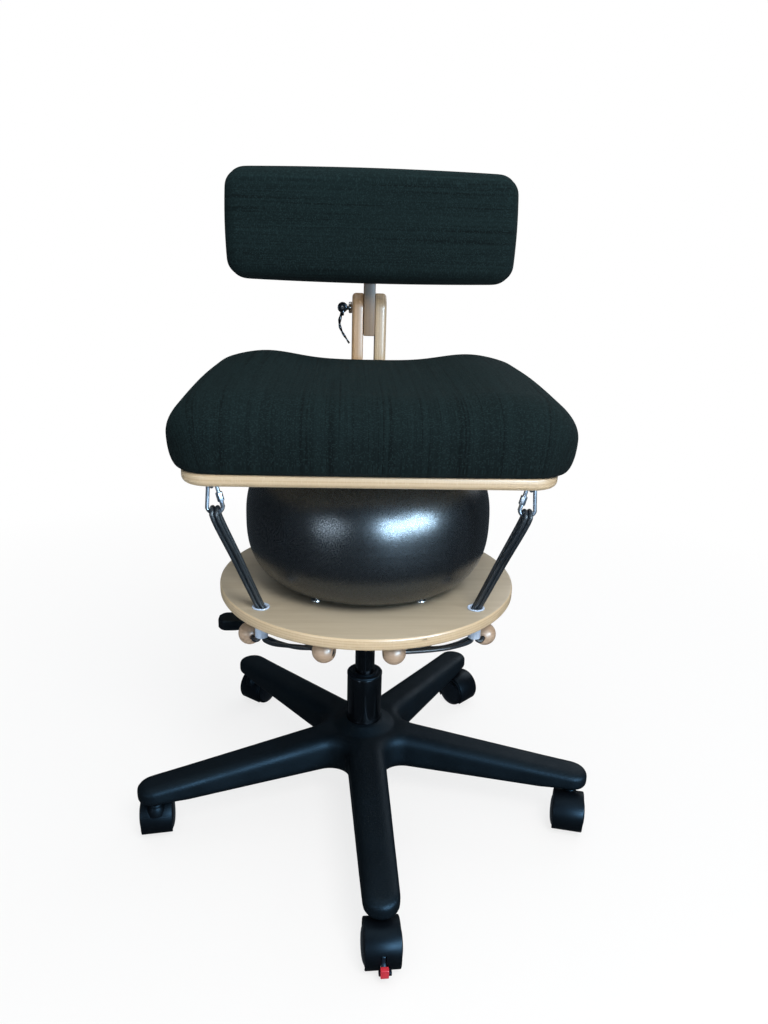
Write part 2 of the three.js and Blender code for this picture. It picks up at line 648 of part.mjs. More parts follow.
function baseDisc() {
  const [r, e] = [disc.radius, disc.edgeRound];
  const body = turned([
    [0, discBottom], [r - e, discBottom], [r, discBottom + e], [r, disc.top - e], [r - e, disc.top],
    [0, disc.top],
  ], disc.facets);
  const tools = boltPlaces().map(([x, y]) => (
    rod3(bolt.radius + gap, discBottom - overrun, disc.top + overrun, x, y, 12)
  ));
  eachCorner((name, sx, sy) => tools.push(rod3(
    sleeve.radius + gap, discBottom - overrun, disc.top + overrun, sx * sleeve.placeX, sy * sleeve.placeY, 14,
  )));
  return cut(body, ...tools);
}

function cordSleeve(sx, sy) {
  const top = disc.top + gap + sleeve.flangeHeight;
  return turned([
    [sleeve.bore, discBottom - sleeve.below], [sleeve.radius, discBottom - sleeve.below],
    [sleeve.radius, disc.top + gap], [sleeve.flangeRadius, disc.top + gap],
    [sleeve.flangeRadius - sleeve.flangeHeight / 2, top], [sleeve.mouth, top],
    [sleeve.bore, top - sleeve.flare],
    [sleeve.bore, discBottom - sleeve.below],
  ], 16).translate(sx * sleeve.placeX, sy * sleeve.placeY, 0);
}

// The ball's side between its two flats is a superellipse
function ballProfile(inset, steps) {
  const half = ballTop - ballMiddle;
  const middle = ballMiddle;
  const points = [[0, middle - half + inset]];
  for (let i = 0; i <= steps; i += 1) {
    const angle = (i / steps - 1 / 2) * (turn / 2);
    const bulge = Math.cos(angle) ** (2 / ball.fullness);
    const rise = Math.sign(Math.sin(angle)) * Math.abs(Math.sin(angle)) ** (2 / ball.fullness);
    const reach = ball.equatorRadius - inset - ball.contactRadius;
    points.push([ball.contactRadius + reach * bulge, middle + (half - inset) * rise]);
  }
  points.push([0, middle + half - inset]);
  return points;
}

function ballSkin() {
  const skin = turned(ballProfile(0, ball.arcSteps), ball.facets);
  const air = turned(ballProfile(ball.wall, ball.arcSteps - 4), ball.facets);
  const outside = ball.equatorRadius + overrun;
  const valve = barY(ball.valveRadius + gap, ball.equatorRadius / 2, outside, 0, ballMiddle, 12);
  const seatFlat = barY(
    ball.plugRadius + gap, ball.equatorRadius - ball.wall / 3, outside, 0, ballMiddle, 16,
  );
  return cut(skin, air, valve, seatFlat);
}

function ballPlug() {
  const middle = ballMiddle;
  const head = ball.equatorRadius - ball.wall / 3 + gap;
  return joined(
    barY(ball.plugRadius, head, head + ball.plugHead, 0, middle, 16),
    barY(ball.valveRadius, head - ball.plugLength, head + gap, 0, middle, 12),
  );
}

// Cords, beads and hooks

// One run of cord from the sleeve up over the hook and down again; lane is its side of the bundle
function overTheHook(sx, sy, lane, bottom) {
  const x = sx * (sleeve.placeX + lane * cord.lane);
  const ringMiddle = link.placeX + link.endRadius * Math.sin(radians(link.leanDegrees));
  const hookX = sx * (ringMiddle + lane * cord.lane);
  const [sleeveY, hookY] = [sy * sleeve.placeY, sy * link.placeY];
  const mouth = disc.top + sleeve.flangeHeight;
  const round = cord.overHook;
  const leave = (side, z) => [x, sleeveY + side * cord.lane, z];
  const lipX = x + sx * cord.lipShift;
  const lean = (side, share) => [
    THREE.MathUtils.lerp(lipX, hookX, share),
    THREE.MathUtils.lerp(sleeveY + side * cord.lane, hookY + side * round, share),
    THREE.MathUtils.lerp(mouth, link.bottom, share),
  ];
  const straight = (side) => (
    [leave(side, bottom), leave(side, discBottom), leave(side, mouth - sleeve.flare)]
  );
  const points = [...straight(sy), lean(sy, 0), lean(sy, 1 / 2)];
  for (let i = 0; i <= cord.arcSteps; i += 1) {
    const angle = (turn / 2) * (i / cord.arcSteps);
    points.push([hookX, hookY + sy * round * Math.cos(angle), link.bottom + round * Math.sin(angle)]);
  }
  points.push(lean(-sy, 1 / 2), lean(-sy, 0), ...straight(-sy).reverse());
  return points;
}

const sleeveEnd = discBottom - sleeve.below;

// From the middle of the cross run, out to the sleeve, over the hook and into the outer bead
function halfMainCord(sx, sy) {
  const facing = radians(outerBead.turnedDegrees);
  const intoBead = [bead.radius, cord.pastSleeve].map((back) => [
    outerBead.x - back * Math.cos(facing), outerBead.y + back * Math.sin(facing), outerBead.height,
  ]);
  const mirrored = (points) => points.map(([x, y, height]) => [sx * x, sy * y, height]);
  const climb = overTheHook(sx, sy, 1, sleeveEnd + cord.pastSleeve).reverse();
  return [...mirrored(crossRun), ...climb, ...mirrored([...beadRun, ...intoBead])];
}

function mainCord(sy) {
  const right = halfMainCord(1, sy);
  const left = halfMainCord(-1, sy).slice(1).reverse();
  return sweep([...left, ...right], cord.radius, cord.sides);
}

// The second front cord on each side ends in a bead under the disc's rim
function tailCord(sx, ending) {
  const b = sx < 0 ? innerBeads.left : innerBeads.right;
  const facing = radians(b.turnedDegrees);
  const climb = overTheHook(sx, -1, -1, sleeveEnd + cord.pastSleeve).reverse().slice(0, -1);
  const run = [...tailRun, ...ending].map(([x, y, height]) => [sx * x, y, height]);
  const intoBead = [bead.radius + cord.lead, bead.radius, 0].map((back) => [
    b.x - back * Math.cos(facing), b.y - back * Math.sin(facing), b.height,
  ]);
  return sweep([...climb, ...run, ...intoBead], cord.radius, cord.sides);
}

// A bead with a hole through it and a well for the knot at the far end of the hole
function threadedBead(place, facing) {
  const r = bead.radius;
  const lip = Math.sqrt(r * r - bead.wellRadius * bead.wellRadius);
  const back = Math.sqrt(r * r - bead.bore * bead.bore);
  const profile = [[bead.bore, -back]];
  const from = Math.asin(-back / r);
  const to = Math.asin(lip / r);
  for (let i = 1; i < bead.arcSteps; i += 1) {
    const angle = THREE.MathUtils.lerp(from, to, i / bead.arcSteps);
    profile.push([r * Math.cos(angle), r * Math.sin(angle)]);
  }
  const floor = lip - bead.wellDepth;
  profile.push([bead.wellRadius, lip], [bead.wellRadius, floor], [bead.bore, floor], [bead.bore, -back]);
  const shape = turned(profile, bead.facets).rotateY(turn / 4).rotateZ(facing);
  return shape.translate(place[0], place[1], place[2]);
}

const linkSpan = seatBottom - link.wire - 2 * gap - link.bottom;

// Pear-shaped snap link: an open ring of wire, closed by its threaded nut on the inner side
function snapLink(sx, sy) {
  const span = linkSpan;
  const [big, small] = [link.endRadius, link.topRadius];
  const tilt = Math.asin((big - small) / (span - big - small));
  const bigAt = big;
  const smallAt = span - small;
  const ring = [];
  for (let i = 0; i <= link.arcSteps; i += 1) {
    const angle = turn / 2 + tilt + ((turn / 2 - 2 * tilt) * i) / link.arcSteps;
    ring.push([big * Math.cos(angle), bigAt + big * Math.sin(angle)]);
  }
  for (let i = 0; i <= link.arcSteps; i += 1) {
    const angle = -tilt + ((turn / 2 + 2 * tilt) * i) / link.arcSteps;
    ring.push([small * Math.cos(angle), smallAt + small * Math.sin(angle)]);
  }
  const [first, last] = [ring[0], ring[ring.length - 1]];
  const middle = [0, 1].map((i) => THREE.MathUtils.lerp(first[i], last[i], link.openingShare));
  const side = [0, 1].map((i) => (last[i] - first[i]) / Math.hypot(last[0] - first[0], last[1] - first[1]));
  const open = [-1, 1].map((s) => [0, 1].map((i) => middle[i] + (s * side[i] * link.opening) / 2));
  const route = [open[0], ...ring, open[1]].map(([x, z]) => [sx * x, 0, z]);
  const half = link.nutLength / 2;
  const nutEnds = [-half, 0, half].map((s) => [sx * (middle[0] + side[0] * s), 0, middle[1] + side[1] * s]);
  const body = joined(sweep(route, link.wire, link.sides), sweep(nutEnds, link.nutRadius, 6));
  const lean = sx * radians(link.leanDegrees);
  return body.translate(0, 0, -span).rotateY(lean).translate(
    sx * link.placeX + span * Math.sin(lean), sy * link.placeY, link.bottom + span * Math.cos(lean),
  );
}

function linkTopX(sx) {
  return sx * (link.placeX + linkSpan * Math.sin(radians(link.leanDegrees)));
}

// Screw eye: a staple of wire under the board that carries the snap link
function hookEye(sx, sy) {
  const x = linkTopX(sx);
  const bottom = seatBottom - 2 * gap - 2 * link.wire - link.eyeRoom - eye.wire;
  const y = sy * link.placeY;
  const top = seatBottom + eye.inBoard;
  const points = [[x, y - eye.halfSpan, top], [x, y - eye.halfSpan, seatBottom]];
  for (let i = 0; i <= eye.arcSteps; i += 1) {
    const angle = turn / 2 + (turn / 2) * (i / eye.arcSteps);
    points.push([x, y + eye.halfSpan * Math.cos(angle), bottom + eye.halfSpan * (1 + Math.sin(angle))]);
  }
  points.push([x, y + eye.halfSpan, seatBottom], [x, y + eye.halfSpan, top]);
  return sweep(points, eye.wire, eye.sides);
}

// Seat

function seatBoard() {
  const outline = roundedOutline(
    seat.offset - seat.halfWidth, seat.offset + seat.halfWidth, seat.front, seat.rear, seat.corner,
  );
  const body = board(outline, seat.thickness, seat.edgeRound, seat.cornerSteps).translate(0, 0, seatBottom);
  const tools = [];
  eachCorner((name, sx, sy) => [-1, 1].forEach((side) => tools.push(rod3(
    eye.wire + gap, seatBottom - overrun, seatBottom + eye.inBoard + gap, linkTopX(sx),
    sy * link.placeY + side * eye.halfSpan, 10,
  ))));
  return cut(body, ...tools);
}

// Two thigh humps with a valley between them, a little lower at the front
function seatCushion() {
  const c = cushion;
  const topAt = (u, v) => {
    const along = THREE.MathUtils.smoothstep(v, -1, 0.3);
    const ridge = THREE.MathUtils.lerp(c.frontHeight, c.rearHeight, along);
    const away = (Math.abs(u) * c.halfWidth - c.humpX) / c.humpWidth;
    const fall = c.edgeDrop * Math.max(Math.abs(u) - c.humpX / c.halfWidth, 0) ** 2 * 2;
    return ridge + c.hump * Math.exp(-away * away * 2) * (0.45 + 0.55 * along) - fall;
  };
  return cushionForm(c, -c.halfWidth, c.halfWidth, c.front, c.rear, topAt).translate(0, 0, seatTop + gap);
}

// Backrest

function uprightOutline() {
  const [front, rear] = [upright.front, upright.front + timber.depth];
  const bottom = seatBottom - gap - upright.armHeight;
  const armTop = seatBottom - gap;
  const r = timber.depth / 2;
  const outline = new THREE.Shape();
  outline.moveTo(rear - r, bottom);
  outline.absarc(rear - r, bottom + r, r, -turn / 4, 0, false);
  outline.absarc(front + r, upright.top - r, r, 0, turn / 2, false);
  const fillet = upright.innerFillet;
  outline.lineTo(front, armTop + fillet);
  outline.absarc(front - fillet, armTop + fillet, fillet, 0, -turn / 4, true);
  outline.lineTo(front - upright.armLength, armTop);
  outline.lineTo(front - upright.armLength, armTop - upright.tip);
  outline.lineTo(front - upright.heel, bottom);
  outline.closePath();
  return outline;
}

function uprightBoard(side) {
  const x0 = side < 0 ? -uprightOuter : uprightInner;
  const body = standingBoard(uprightOutline(), x0, timber.thickness, spacer.edge, upright.arcSteps);
  const reach = uprightOuter + overrun;
  const tools = [barX(clamp.rodRadius + gap, -reach, reach, clampY, clamp.height, 16)];
  if (side > 0) {
    const well = uprightOuter - clamp.nutLength - gap;
    tools.push(barX(clamp.nutRadius + gap, well, reach, clampY, clamp.height, 16));
  }
  return cut(body, ...tools);
}

function uprightSpacer() {
  const bottom = seatBottom - gap - upright.armHeight + timber.depth / 4;
  const half = uprightInner - gap;
  const front = upright.front - spacer.length;
  return box(-half, half, front, clampY, bottom, seatBottom - gap - spacer.edge);
}

function backPost() {
  const front = upright.front - post.ahead;
  const rear = upright.front + timber.depth;
  const outline = new THREE.Shape();
  const top = post.bottom + post.length;
  outline.moveTo(front, post.bottom);
  outline.lineTo(rear, post.bottom);
  outline.lineTo(rear, clamp.height + timber.depth * 2);
  outline.lineTo(rear - post.taper, top - post.taper);
  outline.absarc(rear - 2 * post.taper, top - post.taper, post.taper, 0, turn / 4, false);
  outline.lineTo(front, top);
  outline.closePath();
  const slot = new THREE.Path();
  const r = clamp.rodRadius + running;
  slot.absarc(clampY, clamp.height + post.lower + post.spare, r, 0, turn / 2, false);
  slot.absarc(clampY, clamp.height - post.raise - post.spare, r, turn / 2, turn, false);
  slot.closePath();
  outline.holes.push(slot);
  return standingBoard(outline, -timber.thickness / 2, timber.thickness, 0, post.arcSteps);
}

// Stands a shape that lies flat up on its long edge, with its top to the front
function stoodUp(geometry, rear) {
  return geometry.rotateX(turn / 4).translate(0, rear, 0);
}

function backBoardShape() {
  const outline = roundedOutline(
    -backBoard.halfWidth, backBoard.halfWidth,
    backBoard.bottom, backBoard.bottom + backBoard.height, backBoard.corner,
  );
  return stoodUp(board(outline, backBoard.thickness, backBoard.edge, backBoard.cornerSteps), backBoardRear);
}

function backPad() {
  const topAt = (u, v) => pad.thickness - pad.crown * (u ** 4 + v * v) / 2;
  const form = cushionForm(
    { ...pad, topInset: pad.frontInset, bottomInset: pad.backInset },
    -pad.halfWidth, pad.halfWidth, pad.bottom, pad.top, topAt,
  );
  return stoodUp(form, padRear);
}

function clampSkewer() {
  const left = -uprightOuter - gap;
  const pivotX = left - clamp.washerLength - clamp.pivotOut;
  const nutStart = uprightOuter - clamp.nutLength;
  const nut = barX(clamp.nutRadius, nutStart, uprightOuter - gap, clampY, clamp.height, 12);
  const rodBar = barX(clamp.rodRadius, pivotX, uprightOuter - gap * 2, clampY, clamp.height, 16);
  const washer = barX(clamp.washerRadius, left - clamp.washerLength, left, clampY, clamp.height, 16);
  const yoke = barY(
    clamp.yokeRadius, clampY - clamp.yokeWidth / 2, clampY + clamp.yokeWidth / 2, pivotX, clamp.height, 16,
  );
  const pivot = barY(
    clamp.pivotPinRadius, clampY - clamp.pivotPinLength / 2, clampY + clamp.pivotPinLength / 2,
    pivotX, clamp.height, 10,
  );
  return joined(rodBar, nut, washer, yoke, pivot);
}

// The cam lever has a cheek on each side of the yoke and a curved arm between them
function camLever() {
  const pivotX = -uprightOuter - gap - clamp.washerLength - clamp.pivotOut;
  const inner = clamp.yokeWidth / 2 + running;
  const outer = inner + cam.cheek;
  const z = clamp.height;
  const points = [];
  for (let i = 0; i <= cam.steps; i += 1) {
    const share = i / cam.steps;
    const sway = -cam.bulge * Math.sin(share * turn * 0.62) + cam.tipShift * share * share * 2;
    const drop = cam.ringRadius - cam.lap + share * (cam.length - cam.ringRadius);
    points.push([pivotX + sway, clampY, z - drop]);
  }
  const arm = sweep(points, cam.armThick / 2, cam.sides);
  reshaped(arm, (p) => {
    const share = (z - p.z) / cam.length;
    const wide = THREE.MathUtils.lerp(cam.armWidth, cam.tipWidth, share) / cam.armThick;
    p.y = clampY + (p.y - clampY) * wide;
  });
  const shape = [-1, 1].map((s) => barY(
    cam.ringRadius, clampY + (s < 0 ? -outer : inner), clampY + (s < 0 ? -inner : outer), pivotX, z, 18,
  ));
  const bridge = box(
    pivotX - cam.armThick / 2, pivotX + cam.armThick / 2, clampY - outer, clampY + outer,
    z - cam.ringRadius - cam.armThick, z - cam.ringRadius + gap,
  );
  const cheeks = [-1, 1].map((s) => box(
    pivotX - cam.armThick / 2, pivotX + cam.armThick / 2, clampY + (s < 0 ? -outer : inner),
    clampY + (s < 0 ? -inner : outer), z - cam.ringRadius - cam.armThick, z,
  ));
  const past = outer + overrun;
  const bore = barY(clamp.pivotPinRadius + gap, clampY - past, clampY + past, pivotX, z, 12);
  const room = barY(clamp.yokeRadius + running, clampY - inner, clampY + inner, pivotX, z, 20);
  return cut(joined(arm, shape[0], shape[1], bridge, cheeks[0], cheeks[1]), bore, room);
}

// The chair

const chair = new THREE.Group();

function add(name, geometry, material, parent = chair) {
  const mesh = new THREE.Mesh(geometry, material);
  mesh.name = name;
  parent.add(mesh);
  return mesh;
}

const footing = new THREE.Group();
footing.rotation.z = -turn / 4 + radians(base.turnDegrees);
chair.add(footing);
add('base_star', baseStar(), finish.nylon, footing);

casters.forEach(({ place, trails }, k) => {
  const along = -turn / 4 + radians(base.turnDegrees) + (k * turn) / base.legs;
  const caster = new THREE.Group();
  caster.position.set(stemRadius * Math.cos(along), stemRadius * Math.sin(along), 0);
  caster.rotation.z = radians(trails);
  chair.add(caster);
  add(`caster_hood_${place}`, casterHood(place === 'front'), finish.plastic, caster);
  add(`caster_wheels_${place}`, casterWheels(), finish.capGloss, caster);
  if (place === 'front') add('brake_pedal', brakePedal(), finish.redTab, caster);
});

add('outer_tube', outerTube(), finish.columnBlack);
add('guide_bush', guideBush(), finish.plastic);
add('piston_rod', pistonRod(), finish.steel);
add('gas_cylinder', gasCylinder(), finish.columnBlack);
add('release_pin', releasePin(), finish.steel);

add('mechanism_plate', mechanismPlate(), finish.plateSteel);
add('mechanism_socket', mechanismSocket(), finish.plateSteel);
add('lift_lever_rod', leverRod(), finish.columnBlack);
add('lift_lever_paddle', leverPaddle(), finish.plastic);
boltPlaces().forEach(([x, y], i) => add(`plate_bolt_${i + 1}`, plateBolt(x, y), finish.steel));

add('base_disc', baseDisc(), finish.birch);
eachCorner((name, sx, sy) => add(`cord_sleeve_${name}`, cordSleeve(sx, sy), finish.whitePlastic));
add('ball', ballSkin(), finish.ballSkin);
add('ball_plug', ballPlug(), finish.ballSkin);

add('front_cord', mainCord(-1), finish.elastic);
add('rear_cord', mainCord(1), finish.elastic);
add('tail_cord_left', tailCord(-1, tailEnds.left), finish.elastic);
add('tail_cord_right', tailCord(1, tailEnds.right), finish.elastic);
eachCorner((name, sx, sy) => {
  const swing = radians(outerBead.turnedDegrees);
  const facing = Math.atan2(-sy * Math.sin(swing), sx * Math.cos(swing));
  const place = [sx * outerBead.x, sy * outerBead.y, outerBead.height];
  add(`outer_bead_${name}`, threadedBead(place, facing), finish.beech);
});
add('inner_bead_left', threadedBead(
  [innerBeads.left.x, innerBeads.left.y, innerBeads.left.height], radians(innerBeads.left.turnedDegrees),
), finish.beech);
add('inner_bead_right', threadedBead(
  [innerBeads.right.x, innerBeads.right.y, innerBeads.right.height], radians(innerBeads.right.turnedDegrees),
), finish.beech);
eachCorner((name, sx, sy) => {
  add(`snap_link_${name}`, snapLink(sx, sy), finish.steel);
  add(`hook_eye_${name}`, hookEye(sx, sy), finish.steel);
});

add('seat_board', seatBoard(), finish.birch);
add('seat_cushion', seatCushion(), finish.fabric);

// The backrest stands a little to one side of the seat's middle
const back = new THREE.Group();
back.position.x = upright.offset;
chair.add(back);
add('upright_left', uprightBoard(-1), finish.birch, back);
add('upright_right', uprightBoard(1), finish.birch, back);
add('upright_spacer', uprightSpacer(), finish.birch, back);
add('back_post', backPost(), finish.birch, back);
add('back_board', backBoardShape(), finish.birch, back);
add('back_cushion', backPad(), finish.fabric, back);
add('clamp_skewer', clampSkewer(), finish.steel, back);
add('cam_lever', camLever(), finish.columnBlack, back);

// The origin is the middle of the chair's box, on the floor
const extent = new THREE.Box3().setFromObject(chair, true);
chair.position.set(-(extent.min.x + extent.max.x) / 2, -(extent.min.y + extent.max.y) / 2, -extent.min.z);
chair.updateMatrixWorld(true);

export default chair;
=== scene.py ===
"""A balance ball chair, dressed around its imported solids: woven cushions, lacquered birch plywood,
a speckled ball, elastic cords on zinc-plated links and a moulded base on twin-wheel casters.
Pieces are modelled in millimetres from the column's foot and settled into the frame in metres."""

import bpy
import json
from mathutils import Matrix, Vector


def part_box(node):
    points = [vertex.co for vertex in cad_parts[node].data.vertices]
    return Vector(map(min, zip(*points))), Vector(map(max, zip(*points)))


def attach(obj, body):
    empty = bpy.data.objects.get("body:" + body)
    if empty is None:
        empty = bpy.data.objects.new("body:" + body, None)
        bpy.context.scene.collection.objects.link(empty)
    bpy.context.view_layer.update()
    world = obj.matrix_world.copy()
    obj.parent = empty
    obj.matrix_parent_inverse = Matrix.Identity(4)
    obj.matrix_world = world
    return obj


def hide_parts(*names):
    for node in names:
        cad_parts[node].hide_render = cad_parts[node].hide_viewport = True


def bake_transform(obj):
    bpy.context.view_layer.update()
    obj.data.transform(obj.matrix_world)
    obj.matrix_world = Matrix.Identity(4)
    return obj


bl_info = {
    "name": "Balance Ball Chair",
    "version": (1, 0, 0),
    "blender": (4, 5, 0),
    "location": "View3D > Sidebar > Chair",
    "description": "Builds the visible pieces and finishes of a balance ball chair",
    "category": "Object",
}

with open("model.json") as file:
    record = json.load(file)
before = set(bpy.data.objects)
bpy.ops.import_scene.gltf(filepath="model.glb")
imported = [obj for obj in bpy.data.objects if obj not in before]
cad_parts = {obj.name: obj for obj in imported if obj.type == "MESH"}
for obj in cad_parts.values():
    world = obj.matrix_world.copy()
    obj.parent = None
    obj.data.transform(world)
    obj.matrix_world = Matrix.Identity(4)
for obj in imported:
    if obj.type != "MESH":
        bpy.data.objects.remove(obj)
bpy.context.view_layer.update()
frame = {"nodes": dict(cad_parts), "record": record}

import json
import math

import bpy
from bpy.props import FloatProperty, FloatVectorProperty, IntProperty, PointerProperty
from mathutils import Matrix, Vector

TURN = 2 * math.pi
RECORD = frame["record"]
BODY_OF = {node: body for body, nodes in RECORD["behaviour"]["bodies"].items() for node in nodes}
CORNERS = [("front_left", -1, -1), ("front_right", 1, -1), ("rear_left", -1, 1), ("rear_right", 1, 1)]
CASTERS = [("front", -87), ("front_right", -104), ("back_right", -47), ("back_left", 52), ("front_left", 99)]


def middle_of(node):
    low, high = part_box(node)
    return (low + high) / 2


COLUMN = Vector((middle_of("gas_cylinder").x, middle_of("gas_cylinder").y, 0))
FROM_MM = Matrix.Translation(COLUMN) @ Matrix.Scale(0.001, 4)
radians = math.radians


def mix(low, high, share):
    return low + (high - low) * share


def unit(value):
    return min(max(value, 0), 1)


# Sizes and colours a user may change


class ChairSizes(bpy.types.PropertyGroup):
    facets: IntProperty(name="Turning steps", description="Steps round a turned piece", default=72, min=24)
    cushion_cuts: IntProperty(
        name="Cushion cuts", description="Cuts along each side of a cushion's form", default=47, min=15)
    cord_sides: IntProperty(name="Cord sides", description="Faces round a cord", default=14, min=8)
    star_voxel: FloatProperty(
        name="Base grain", description="Step of the base's skin in millimetres", default=2.4, min=1.5)
    slub: FloatProperty(
        name="Slub", description="How strongly the thick threads show", default=0.55, min=0, max=1)


class ChairColours(bpy.types.PropertyGroup):
    fabric: FloatVectorProperty(
        name="Fabric", description="Woven cover", subtype="COLOR", size=3, default=(0.0058, 0.0140, 0.0155))
    birch: FloatVectorProperty(
        name="Birch", description="Face veneer", subtype="COLOR", size=3, default=(0.60, 0.50, 0.35))
    ball: FloatVectorProperty(
        name="Ball", description="Ball skin", subtype="COLOR", size=3, default=(0.0035, 0.0045, 0.0060))
    nylon: FloatVectorProperty(
        name="Nylon", description="Moulded base", subtype="COLOR", size=3, default=(0.0018, 0.0030, 0.0043))


def sizes():
    return bpy.context.scene.chair_sizes


def colours():
    return bpy.context.scene.chair_colours


# Modelling helpers


def clear_selection():
    if bpy.context.object and bpy.context.object.mode != "OBJECT":
        bpy.ops.object.mode_set(mode="OBJECT")
    bpy.ops.object.select_all(action="DESELECT")


def only(piece):
    clear_selection()
    piece.select_set(True)
    bpy.context.view_layer.objects.active = piece


def edit(piece):
    only(piece)
    bpy.ops.object.mode_set(mode="EDIT")
    bpy.ops.mesh.select_all(action="SELECT")


def leave_edit():
    bpy.ops.object.mode_set(mode="OBJECT")


def face_outwards():
    """Turns every face of the piece outwards, and leaves edit mode."""
    bpy.ops.mesh.select_all(action="SELECT")
    bpy.ops.mesh.normals_make_consistent(inside=False)
    leave_edit()


def made(name):
    piece = bpy.context.object
    piece.name = piece.data.name = name
    return piece


def outline_of(name, points, filled=False):
    """A closed outline: a circle whose corners are moved to the points."""
    clear_selection()
    bpy.ops.mesh.primitive_circle_add(
        vertices=len(points), radius=1, fill_type="NGON" if filled else "NOTHING", location=(0, 0, 0))
    piece = made(name)
    for vertex, point in zip(piece.data.vertices, points):
        vertex.co = point
    return piece


def turned(name, profile, steps=None, degrees=360, start=0):
    """Spins a closed [radius, height] profile about Z, all the way or part of it."""
    begin = radians(start)
    points = [(r * math.cos(begin), r * math.sin(begin), z) for r, z in profile]
    piece = outline_of(name, points)
    edit(piece)
    bpy.ops.mesh.spin(
        steps=steps or sizes().facets, angle=-radians(degrees), center=(0, 0, 0), axis=(0, 0, 1))
    bpy.ops.mesh.select_all(action="SELECT")
    bpy.ops.mesh.remove_doubles(threshold=0.002)
    bpy.ops.mesh.delete_loose(use_verts=True, use_edges=True, use_faces=False)
    if degrees < 360:
        bpy.ops.mesh.select_all(action="SELECT")
        bpy.ops.mesh.fill_holes(sides=0)
    face_outwards()
    return piece


def modified(piece, kind, **settings):
    only(piece)
    bpy.ops.object.modifier_add(type=kind)
    modifier = piece.modifiers[-1]
    for key, value in settings.items():
        setattr(modifier, key, value)
    bpy.ops.object.modifier_apply(modifier=modifier.name)
    return piece


def remeshed(piece, step):
    """Gives a piece an even skin. It is done in metres, because a new Remesh starts at a tenth of a unit."""
    moved(piece, Matrix.Scale(0.001, 4))
    modified(piece, "REMESH", mode="VOXEL", voxel_size=step / 1000)
    return moved(piece, Matrix.Scale(1000, 4))


def rounded(piece, width, segments=3, degrees=35):
    return modified(
        piece, "BEVEL", width=width, segments=segments, limit_method="ANGLE",
        angle_limit=radians(degrees), harden_normals=False)


def remove(*pieces):
    for piece in pieces:
        bpy.data.objects.remove(piece, do_unlink=True)


def combined(piece, tool, operation):
    modified(piece, "BOOLEAN", operation=operation, object=tool, solver="EXACT")
    remove(tool)
    return piece


def cut_by(piece, *tools):
    """Cuts the tools away in one go, where they stand clear of each other."""
    return combined(piece, joined(*tools) if len(tools) > 1 else tools[0], "DIFFERENCE")


def joined(first, *others):
    clear_selection()
    for piece in (first, *others):
        piece.select_set(True)
    bpy.context.view_layer.objects.active = first
    bpy.ops.object.join()
    return first


def moved(piece, matrix):
    only(piece)
    piece.matrix_world = matrix
    bpy.ops.object.transform_apply(location=True, rotation=True, scale=True)
    return piece


def copied(piece, name):
    twin = piece.copy()
    twin.data = piece.data.copy()
    bpy.context.scene.collection.objects.link(twin)
    twin.name = twin.data.name = name
    return twin


def slab(name, points, thickness):
    """A flat board from its outline, standing from z = 0 to its thickness."""
    piece = outline_of(name, [(x, y, 0) for x, y in points], filled=True)
    edit(piece)
    bpy.ops.mesh.extrude_region_move(TRANSFORM_OT_translate={"value": (0, 0, thickness)})
    face_outwards()
    return piece


def block(name, low, high):
    clear_selection()
    middle = [(a + b) / 2 for a, b in zip(low, high)]
    bpy.ops.mesh.primitive_cube_add(size=1, location=(0, 0, 0))
    piece = made(name)
    size = [b - a for a, b in zip(low, high)]
    return moved(piece, Matrix.Translation(middle) @ Matrix.Diagonal((*size, 1)))


def post(name, radius, z0, z1, x=0, y=0, steps=48):
    clear_selection()
    bpy.ops.mesh.primitive_cylinder_add(vertices=steps, radius=radius, depth=z1 - z0, location=(0, 0, 0))
    return moved(made(name), Matrix.Translation((x, y, (z0 + z1) / 2)))


def wire(name, points, radius, sides):
    """A bent wire of round section through the points, as a mesh with closed ends."""
    clear_selection()
    bpy.ops.curve.primitive_nurbs_path_add(location=(0, 0, 0))
    piece = made(name)
    shape = piece.data
    shape.splines.clear()
    spline = shape.splines.new("POLY")
    spline.points.add(len(points) - 1)
    for held, point in zip(spline.points, points):
        held.co = (*point, 1)
    shape.dimensions = "3D"
    shape.bevel_depth = radius
    shape.bevel_resolution = max(sides // 2 - 2, 1)
    shape.use_fill_caps = True
    only(piece)
    bpy.ops.object.convert(target="MESH")
    piece = bpy.context.object
    piece.name = piece.data.name = name
    edit(piece)
    bpy.ops.mesh.remove_doubles(threshold=0.01)
    face_outwards()
    return piece


def along_x(x=0, y=0, z=0):
    return Matrix.Translation((x, y, z)) @ Matrix.Rotation(TURN / 4, 4, "Y")


def along_y(x=0, y=0, z=0):
    return Matrix.Translation((x, y, z)) @ Matrix.Rotation(-TURN / 4, 4, "X")


def arc(cx, cy, r, start, end, steps):
    return [
        (cx + r * math.cos(mix(start, end, i / steps)), cy + r * math.sin(mix(start, end, i / steps)))
        for i in range(steps + 1)
    ]


def rounded_rectangle(x0, x1, y0, y1, r, steps=12):
    quarter = TURN / 4
    return (
        arc(x1 - r, y1 - r, r, 0, quarter, steps) + arc(x0 + r, y1 - r, r, quarter, 2 * quarter, steps)
        + arc(x0 + r, y0 + r, r, 2 * quarter, 3 * quarter, steps)
        + arc(x1 - r, y0 + r, r, 3 * quarter, 4 * quarter, steps)
    )


def smoothed(piece, degrees=40):
    only(piece)
    bpy.ops.object.shade_smooth_by_angle(angle=radians(degrees))
    return piece


def dressed(piece, material, *nodes, body=None, degrees=40, metres=True):
    """Settles a finished piece into the frame, in place of its nodes, and gives it its finish."""
    if metres:
        moved(piece, FROM_MM)
    smoothed(piece, degrees)
    piece.data.materials.clear()
    piece.data.materials.append(material)
    if body is not None or nodes:
        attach(piece, body or BODY_OF[nodes[0]])
    if nodes:
        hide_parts(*nodes)
    return piece


